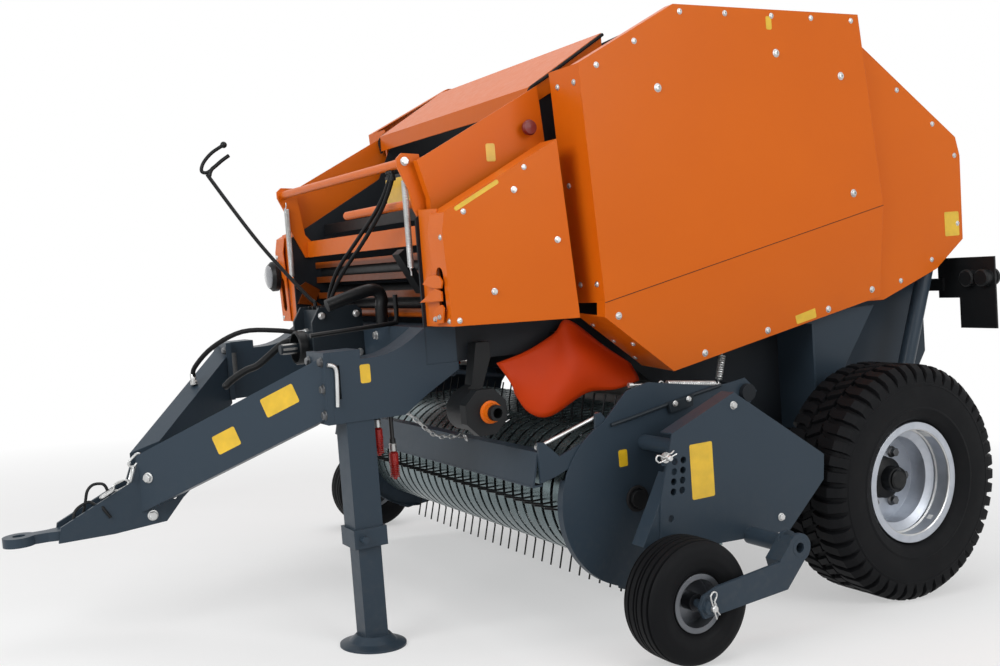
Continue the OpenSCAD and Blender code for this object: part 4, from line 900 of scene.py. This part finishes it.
def make_labels():
    """Blank labels, on the left as the photo shows them."""
    root, gate, pickup = (Solid() for _ in range(3))
    for reach, above, width in ARM_LABELS:
        point, normal, heading = arm_face(reach, above, 1)
        label(root, point, width, ARM_LABEL_H, normal, normal.cross(heading))
    label(root, at(1858, 610, 1000), 34, 58)
    label(root, at(1374, CHEEK_Y, 1668), 34, 58)
    label(root, at(225, lower_panel_y(225, 1040), 1040), 100, 46, up=along(0.17, 0, 0.985))
    label(root, at(343, SHIELD_Y, 2075), 26, 46)
    label(root, at(1524, COVER_Y, 1522), 178, 14, up=along(-COVER_EDGE.z, 0, COVER_EDGE.x))
    label(root, at(1496, 165, 1592), 200, 92, AHEAD)
    root.piece("labels", LABEL)
    label(gate, at(-607, GATE_SHIELD_Y, 1330), 84, 96)
    gate.piece("gate_label", LABEL, body="gate")
    label(pickup, at(953, PLATE_OUT, 616), 90, 174)
    label(pickup, at(1094, PICKUP_OUT, 650), 34, 55)
    pickup.piece("pickup_labels", LABEL, body="pickup")


HOOD_EDGE = [(1199, 1812), (1201, 1872), (1120, 1924), (890, 2065)]


def make_seals():
    """The seam along each shield's crease, and the rubber edge of the hood."""
    for side, s in SIDES:
        seam, seal = Solid(), Solid()
        seam.tube([at(x, s * (SHIELD_Y - 0.6), z) for x, z in (CREASE_FRONT, CREASE_REAR)], 0.0014, 8)
        seam.piece(f"{side}_shield_seam", SEAL)
        seal.bar([(x, s * (HOOD_HALF + 4), z) for x, z in HOOD_EDGE], 0.006, 8, 6)
        seal.piece(f"{side}_hood_seal", SEAL)


# A spring clip of bent wire, as shares of its size
CLIP = [(-1, 0), (0.9, 0), (1.25, 0.18), (1.35, 0.45), (1.15, 0.7), (0.85, 0.62), (0.55, 0.3),
        (0.25, 0.22), (-0.1, 0.34), (-0.45, 0.3), (-0.8, 0.42)]
CLIP_WIRE = 0.0026
# Pins with spring clips: place in millimetres; height, radius in metres; the clip's turn in degrees and its size
CLIPS = [(1093, PLATE_OUT, 678, 0.026, 0.009, 15, 0.033), (1129, 1310, 268, 0.02, 0.0105, -75, 0.034)]


def make_clips():
    for side, s in SIDES:
        pickup = Solid()
        for x, y, z, tall, thick, turn, size in CLIPS:
            pickup.lathe([(0, 0), (1.9 * thick, 0), (1.9 * thick, 0.004), (thick, 0.004), (thick, tall),
                          (0.8 * thick, tall + 0.003), (0, tall + 0.003)], facing(at(x, s * y, z), s * LEFT), 20)
            place = (Matrix.Translation(at(x, s * (y + 0.62 * tall / MM), z)) @ MACHINE.to_3x3().to_4x4()
                     @ Matrix.Rotation(radians(turn), 4, "Y") @ Matrix.Rotation(radians(90), 4, "X"))
            wire = smooth_route([place @ Vector((a * size, b * size, 0)) for a, b in CLIP], 5)
            pickup.tube(wire, CLIP_WIRE, 8)
        pickup.piece(f"{side}_clips", ZINC, body="pickup")


HITCH_LOOPS = ([(2640, 20, 575), (2624, 20, 637), (2615, 20, 671), (2598, 20, 688), (2577, 20, 690),
                (2560, 20, 682), (2551, 22, 655), (2546, 26, 610)],
               [(2668, 34, 560), (2666, 34, 590), (2662, 32, 610), (2648, 28, 624), (2630, 24, 632),
                (2612, 24, 636), (2596, 34, 626), (2578, 46, 618), (2572, 53, 606), (2556, 54, 580)])
# Safety chain that lies along the top edge of the left hitch plate
HITCH_CHAIN = [(2300, 48, 800), (2356, 46, 772), (2412, 44, 760), (2462, 44, 752), (2484, 44, 694),
               (2534, 44, 670), (2580, 44, 647)]
# Length, width and wire of a link
HITCH_LINK = (0.058, 0.024, 0.0042)
HITCH_BOLTS, HITCH_HALF = [(2422, 563)], 50
ARM_BOLT = (655, 5)
DRAWBAR_FLANGE_X, DRAWBAR_FLANGE_YS, DRAWBAR_FLANGE_ZS = 1990, (480, 590), (885, 965, 1048)


def make_hitch():
    """Bolts, wire loops and safety chain of the drawbar."""
    hitch, loops, links, flange = (Solid() for _ in range(4))
    for _, s in SIDES:
        side_row(hitch, bolt, 16, HITCH_BOLTS, HITCH_HALF, s)
        point, normal, _ = arm_face(*ARM_BOLT, s)
        bolt(hitch, point, normal, 16)
        front_row(flange, bolt, 14, [(s * y, z) for y in DRAWBAR_FLANGE_YS for z in DRAWBAR_FLANGE_ZS],
                  DRAWBAR_FLANGE_X)
    hitch.piece("hitch_bolts", ZINC)
    for route in HITCH_LOOPS:
        loops.bar(route, 0.005, 10, 6)
    loops.piece("hitch_loops", BAR)
    chain_links(links, smooth_route([at(*p) for p in HITCH_CHAIN], 30), *HITCH_LINK)
    links.piece("hitch_chain", ZINC)
    flange.piece("flange_bolts", DARK_ZINC)


# ---- springs, chain and aprons

COIL_STEPS = 14
LONGEST_LEAD = 0.025


def coil(solid, start, end, radius, wire, turns):
    """A coil spring with hooked ends from start to end."""
    axis = (end - start).normalized()
    across = axis.orthogonal().normalized()
    other = axis.cross(across)
    lead = min(LONGEST_LEAD, 0.12 * (end - start).length)
    body = (end - start).length - 2 * lead
    route = [start, start + axis * lead * 0.5]
    steps = int(turns * COIL_STEPS)
    for k in range(steps + 1):
        a = TURN * turns * k / steps
        route.append(start + axis * (lead + body * k / steps)
                     + radius * (cos(a) * across + sin(a) * other))
    route += [end - axis * lead * 0.5, end]
    solid.tube(route, wire, 6)


NET_SPRING_X, NET_SPRING_Y, NET_SPRING_ENDS = 1660, 578.7, (1290, 1615)
# Radius and wire of each kind of spring
NET_SPRING, PULL_SPRING = (0.0084, 0.0026), (0.01, 0.003)
NET_TURNS, PULL_TURNS, ROD_TURNS = 54, 11, 26
PULL_ENDS = (615, 790, 832), (560, 760, 940)
STRUT_ENDS = (1396, 728), (1165, 796)
STRUT_Y, ROD_Y = 844.7, 848.7
# A rod's tip and eye, and the far end of its spring
ROD_PLACES = (1040, 880), (908, 868), (655, 838)
STRUT_EYE = [(0.006, -0.006), (0.012, -0.006), (0.012, 0.006), (0.006, 0.006)]
STRUT_R, ROD_R, ROD_TIP_R = 0.006, 0.0045, 0.0085
EYE_R, EYE_WIRE = 0.0095, 0.0028


def make_springs():
    """The springs of the net box and the pickup, and the struts and rods beside them."""
    net, rods = Solid(), Solid()
    for _, s in SIDES:
        coil(net, *(at(NET_SPRING_X, s * NET_SPRING_Y, z) for z in NET_SPRING_ENDS), *NET_SPRING, NET_TURNS)
    net.piece("net_spring_coils", ZINC, "net_springs")
    for side, s in SIDES:
        low, high = (at(x, s * y, z) for x, y, z in PULL_ENDS)
        pull = Solid()
        coil(pull, low, high, *PULL_SPRING, PULL_TURNS)
        bend(pull.object(f"{side}_pickup_coil", ZINC), "pickup_springs")

        ends = [at(x, s * STRUT_Y, z) for x, z in STRUT_ENDS]
        rods.tube(ends, STRUT_R, 12)
        for end in ends:
            rods.hoop(STRUT_EYE, facing(end, LEFT), 16)
        tip, eye, end = (at(x, s * ROD_Y, z) for x, z in ROD_PLACES)
        rods.tube([tip, tip.lerp(eye, 0.12)], ROD_TIP_R, 12)
        rods.tube([tip, eye], ROD_R, 12)
        ring = facing(eye, LEFT)
        rods.tube([ring @ Vector(polar(EYE_R, a)) for a in circle(20)], EYE_WIRE, 8, closed=True)
        coil(rods, eye, end, *PULL_SPRING, ROD_TURNS)
    rods.piece("pickup_rod_coils", ZINC, "pickup_rods", body="pickup")


CHAIN = [(1735, 492.7, 905), (1640, 480.7, 815), (1560, 450, 750), (1480, 420, 730), (1428, 402, 722),
         (1415.8, 400, 696)]
LIFT_LINK = (0.03, 0.012, 0.0028)


def chain_links(solid, route, length, width, wire):
    """Round links along a route, each turned a quarter from the one before."""
    pitch = length - 2.2 * wire
    walked, index, want = 0, 0, pitch / 2
    for k in range(int(length_of(route) / pitch)):
        while index < len(route) - 2 and walked + (route[index + 1] - route[index]).length < want:
            walked += (route[index + 1] - route[index]).length
            index += 1
        heading = (route[index + 1] - route[index]).normalized()
        centre = route[index] + heading * (want - walked)
        side = heading.cross(Vector((0, 0, 1))).normalized()
        if k % 2:
            side = heading.cross(side).normalized()
        oval = []
        for a in circle(18):
            straight = (length / 2 - wire - width / 2) * (1 if cos(a) > 0 else -1)
            oval.append(centre + heading * (straight + width / 2 * cos(a)) + side * (width / 2 * sin(a)))
        solid.tube(oval, wire, 6, closed=True)
        want += pitch


def make_chain():
    route = smooth_route([at(*p) for p in CHAIN], 40)
    solid = Solid()
    chain_links(solid, route, *LIFT_LINK)
    bend(solid.object("pickup_chain_links", ZINC), "pickup_chain")


APRON_TOP = [(1415, 985), (1300, 1012), (1188, 1060), (1130, 1100), (995, 1000), (885, 925)]
APRON_LOW = [(1360, 880), (1330, 815), (1262, 797), (1110, 854), (985, 850), (872, 866)]
APRON_ROWS = 14
APRON_Y = 648
APRON_BULGE, APRON_FOLD = 60, 6
APRON_T = 0.0045
# The aprons hang from a bracket on the wall: its outline along and up, and its thickness
BRACKET = [(1150, 1036), (1180, 1036), (1180, 1066), (1150, 1066)]
BRACKET_T = 0.0467


def make_apron(side, s):
    """The flexible sheet beside the inlet: smooth edges, a bulge and soft folds."""
    top, low = (smooth_route([Vector((x, 0, z)) for x, z in edge], 6) for edge in (APRON_TOP, APRON_LOW))
    columns = len(top)
    grid = []
    for v in (j / APRON_ROWS for j in range(APRON_ROWS + 1)):
        for i in range(columns):
            t = i / (columns - 1)
            p = top[i].lerp(low[i], v)
            bulge = APRON_BULGE * (0.35 + 0.65 * sin(pi * t)) * sin(radians(100) * v)
            fold = APRON_FOLD * sin(11 * t + 4 * v) * v
            grid.append(at(p.x, s * (APRON_Y + bulge + fold), p.z))
    mesh = Solid()
    mesh.add(grid, [(j * columns + i, j * columns + i + 1, (j + 1) * columns + i + 1, (j + 1) * columns + i)
                    for j in range(APRON_ROWS) for i in range(columns - 1)])
    made = mesh.object(f"{side}_apron_sheet", APRON)
    thick = made.modifiers.new("thick", "SOLIDIFY")
    thick.thickness = APRON_T
    thick.offset = s
    bpy.context.view_layer.objects.active = made
    with bpy.context.temp_override(object=made, active_object=made):
        bpy.ops.object.modifier_apply(modifier="thick")
    bend(made, f"{side}_apron")
    bracket = Solid()
    bracket.side_plate(BRACKET, WALL_SEAT, BRACKET_T, s=s)
    held = bracket.piece(f"{side}_apron_bracket", BLACK)


# ---- lamps, couplings, gearbox and knob

LENSES = ((848, LENS_AMBER, "amber"), (918, LENS_RED, "red"))
LAMP_Z, LENS_X, BEZEL_X, LAMP_FRONT_X = 1110, -690, -688, -634.5
LENS = [(0, 0), (0.0315, 0), (0.0315, 0.0045), (0.028, 0.0065), (0.018, 0.0075), (0, 0.008)]
BEZEL = [(0.0335, 0), (0.036, 0), (0.036, 0.012), (0.0335, 0.014)]
LAMP_BACK = [(0, 0), (0.034, 0), (0.034, 0.004), (0.028, 0.009), (0, 0.009)]
FRONT_LENS = [(0, 0), (0.049, 0), (0.048, 0.004), (0.035, 0.009), (0, 0.012)]
FRONT_LAMP_AT, KNOB_X, KNOB_Z = (1682, -812, 1320), 1235, 1744
KNOB = [(0, 0), (0.011, 0), (0.011, 0.012), (0.024, 0.016), (0.026, 0.026), (0.022, 0.034), (0, 0.036)]


def make_lamps():
    """Lenses and bezels of the rear lamps, the front lamp's lens, and the knob on the left cheek."""
    for side, s in SIDES:
        bezel = Solid()
        for y, look, name in LENSES:
            lens = Solid()
            lens.lathe(LENS, facing(at(LENS_X, s * y, LAMP_Z), -AHEAD), 32)
            lens.piece(f"{side}_lens_{name}", look, body="gate")
            bezel.hoop(BEZEL, facing(at(BEZEL_X, s * y, LAMP_Z), -AHEAD), 32)
            bezel.lathe(LAMP_BACK, facing(at(LAMP_FRONT_X, s * y, LAMP_Z), AHEAD), 32)
        bezel.piece(f"{side}_lamp_bezels", BLACK, body="gate")
    front, knob = Solid(), Solid()
    front.lathe(FRONT_LENS, facing(at(*FRONT_LAMP_AT), AHEAD), 36)
    front.piece("front_lamp_lens", LENS_CLEAR)
    knob.lathe(KNOB, facing(at(KNOB_X, CHEEK_Y, KNOB_Z), LEFT), 24)
    knob.piece("cheek_knob", SHADED_RED)


INPUT_Z = 1060
INPUT_FACE_X, INPUT_RING_X, SPLINE_X = 1835, 1836, 1866
INPUT_BOLTS, INPUT_BOLT_R, INPUT_BOLT_TURN = 6, 44, 0.2
GEARBOX_HALF, NET_BOX_HALF, BEAM_FRONT_X = 102, 600, 1645
NET_BOLTS = [(1664, 1650)]
DRIVE_AT = (1533, 800, 853)
CHEEK_BOLTS = [(1665, 1030), (1810, 1030), (1798, 1170), (1668, 1168)]
BEAM_BOLTS = [(-298, 1090), (218, 1090)]
DRIVE_COLLAR = [(0.0254, 0.0005), (0.036, 0.0005), (0.036, 0.005), (0.0295, 0.008), (0.0295, 0.03), (0.0254, 0.03)]
INPUT_RING = [(0.056, 0), (0.06, 0), (0.06, 0.03), (0.056, 0.034), (0.052, 0.034), (0.052, 0)]
RIB = [(-0.065, -0.004), (0.065, -0.004), (0.065, 0.004), (-0.065, 0.004)]
RIB_X, RIB_YS, RIB_Z = 1720, (-66, -22, 22, 66), 1190
SPLINE = [(-0.003, -0.0042), (0.0028, -0.0042), (0.0028, 0.0042), (-0.003, 0.0042)]
SPLINES = 6
SPLINE_R = 0.0165


def make_gearbox():
    """Bolts, ribs and splined input of the gearbox, the bolts near it and the collar of the drive."""
    detail, collar, ribs, spline = (Solid() for _ in range(4))
    for turn in circle(INPUT_BOLTS):
        y, z, _ = polar(INPUT_BOLT_R, turn + INPUT_BOLT_TURN)
        front_row(detail, bolt, 7, [(y, INPUT_Z + z)], INPUT_FACE_X)
    for _, s in SIDES:
        side_row(detail, bolt, 12, CHEEK_BOLTS, GEARBOX_HALF, s)
        side_row(detail, bolt, 13, NET_BOLTS, NET_BOX_HALF, s)
    front_row(detail, bolt, 14, BEAM_BOLTS, BEAM_FRONT_X)
    detail.piece("gearbox_bolts", ZINC)
    collar.hoop(DRIVE_COLLAR, facing(at(*DRIVE_AT), LEFT), 32)
    collar.piece("drive_collar", ORANGE)
    for y in RIB_YS:
        ribs.prism(RIB, 0, 0.012, facing(at(RIB_X, y, RIB_Z), UP, -pi / 2), 0.002)
    ribs.hoop(INPUT_RING, facing(at(INPUT_RING_X, 0, INPUT_Z), AHEAD), 36)
    ribs.piece("gearbox_ribs", BLACK)
    for a in circle(SPLINES):
        place = facing(at(SPLINE_X, 0, INPUT_Z), AHEAD, a) @ Matrix.Translation((SPLINE_R, 0, 0))
        spline.prism(SPLINE, 0, 0.052, place, 0.001)
    spline.piece("input_splines", STEEL)


ROD_SHAFT = [(1760, -60, 1190.5), (1760, -60, 1215), (1785, -74, 1245), (1920, -140, 1440), (2059, -198, 1679),
             (2064, -200, 1697), (2056, -200, 1718), (2039, -200, 1732), (2013, -200, 1752), (1988, -200, 1768)]
ROD_HOOK = [(2054, -200, 1719), (2072, -204, 1709), (2088, -206, 1712), (2089, -206, 1727), (2076, -206, 1751),
            (2047, -205, 1780), (2003, -202, 1807)]
BENT_TUBE = [(1612, 200, 1123.5), (1612, 200, 1180), (1608, 200, 1215), (1620, 200, 1240), (1650, 200, 1248),
             (1720, 195, 1232), (1808, 190, 1206)]
STAY = [(1618, 340, 1228), (1618, 340, 1155), (1624, 340, 1138), (1645, 340, 1131.3), (1930, 340, 1118)]
# Route, radius and sides of each bar of the hose holder
ROD_BARS = ((ROD_SHAFT, 0.007, 12), (ROD_HOOK, 0.0065, 12), (BENT_TUBE, 0.022, 24), (STAY, 0.008, 12))
BALL_STEPS = 10


def ball(solid, place, radius):
    """A round end on a bar."""
    arc = [pi * k / BALL_STEPS for k in range(BALL_STEPS + 1)]
    solid.lathe([(max(radius * sin(a), 0.0004), -radius * cos(a)) for a in arc],
                facing(at(*place), UP), 20)


def make_hose_rod():
    """The hose holder with its two-pronged hook and ball, the bent tube and the stay."""
    rod = Solid()
    for route, radius, sides in ROD_BARS:
        rod.bar(route, radius, sides, 8)
    ball(rod, ROD_HOOK[-1], 0.012)
    rod.piece("hose_rod_bent", BAR, "hose_rod")


# The grip's rings and the collar, below the hose's upper end
GRIP_RINGS, GRIP_TOP, GRIP_PITCH = 9, 75, 6
COLLAR_TOP = 40
GRIP_RING = [(0.0146, -0.0014), (0.0163, -0.0006), (0.0163, 0.0006), (0.0146, 0.0014)]
COUPLING_COLLAR = [(0.0098, 0), (0.0125, 0), (0.0125, 0.024), (0.0098, 0.026)]


def make_coupling_caps():
    caps, collars = Solid(), Solid()
    for x, top in COUPLINGS:
        for k in range(GRIP_RINGS):
            caps.hoop(GRIP_RING, facing(at(x, COUPLING_Y, top - GRIP_TOP - k * GRIP_PITCH), UP), 20)
        collars.hoop(COUPLING_COLLAR, facing(at(x, COUPLING_Y, top - COLLAR_TOP), UP), 18)
    caps.piece("coupling_rings", RED)
    collars.piece("coupling_collars", ZINC)


# Inner flange of each lower cover's front: across and up
COVER_FLANGE_X = 1630
COVER_FLANGE = [(WALL_SEAT, 1126), (712, 1126), (738, 1490), (WALL_SEAT, 1496)]


def make_cover_flanges():
    for side, s in SIDES:
        flange = Solid()
        flange.front_plate(COVER_FLANGE, COVER_FLANGE_X, 0.004, s=s)
        flange.piece(f"{side}_cover_flange", ORANGE)


LATCH = [(1981, 1040), (1968, 1037), (1958, 1030), (1954, 1013), (1956, 960), (1959, 909)]
LATCH_R = 0.0065
GUIDE_BAR = [(1136, 764), (1055, 776), (910, 801), (760, 826), (676, 838)]
GUIDE_R = 0.006
CLAMP = [(908, 808), (803, 823), (807, 786), (900, 773)]
CLAMP_T = 0.019
CLAMP_BOLTS = [(884, 803), (827, 811)]
SHAFT_HOOK = [(1838, -98, 1083), (1880, -108, 1072), (1933, -110, 1035), (1980, -110, 1004), (2024, -110, 991),
              (2075, -110, 964), (2098, -110, 946)]
HOOK_R = 0.013
# Orange levers between the net box and the left cover: outlines across and up
LEVER_X = 1652
LEVER_T = 0.006
LEVERS = [[(649, 1260), (694, 1250), (735, 1246), (775, 1246), (786, 1266), (770, 1282), (735, 1289), (700, 1286),
           (672, 1276)],
          [(619, 1203), (775, 1207), (775, 1236), (735, 1248)],
          [(700, 1136), (768, 1140), (784, 1186), (770, 1196), (735, 1184), (704, 1166)]]
LEVER_BOLTS = [(726, 1152), (756, 1158)]


def make_left_details():
    """Small things that the photo shows on the left and in front only."""
    latch, guide, bolts, hook, levers, heads = (Solid() for _ in range(6))
    latch_y = outer("left_gooseneck") + LATCH_R / MM
    latch.bar([(x, latch_y, z) for x, z in LATCH], LATCH_R, 12, 8)
    latch.piece("gooseneck_latch", ZINC)
    guide.tube([at(x, PICKUP_OUT + GUIDE_R / MM, z) for x, z in GUIDE_BAR], GUIDE_R, 12)
    guide.side_plate(CLAMP, PICKUP_OUT, CLAMP_T, 0.002)
    guide.piece("pickup_guide", SHADED_ANTHRACITE, body="pickup")
    side_row(bolts, bolt, 9, CLAMP_BOLTS, PICKUP_OUT + CLAMP_T / MM)
    bolts.piece("pickup_guide_bolts", ZINC, body="pickup")
    hook.bar(SHAFT_HOOK, HOOK_R, 16, 6)
    ball(hook, SHAFT_HOOK[-1], HOOK_R)
    hook.piece("shaft_hook", BAR)
    for outline in LEVERS:
        levers.front_plate(outline, LEVER_X, LEVER_T)
    levers.piece("net_levers", ORANGE)
    front_row(heads, bolt, 8, LEVER_BOLTS, LEVER_X + LEVER_T / MM)
    heads.piece("net_lever_bolts", ZINC)


make_camera()
make_cords()
make_studio()
dress_nodes()
for side_name, side_sign in SIDES:
    make_tyres(side_name, side_sign)
    make_wheel_hardware(side_name, side_sign)
    make_apron(side_name, side_sign)
make_fasteners()
make_labels()
make_seals()
make_clips()
make_hitch()
make_springs()
make_chain()
make_lamps()
make_gearbox()
make_hose_rod()
make_coupling_caps()
make_cover_flanges()
make_left_details()

bpy.context.scene.view_settings.view_transform = "Standard"
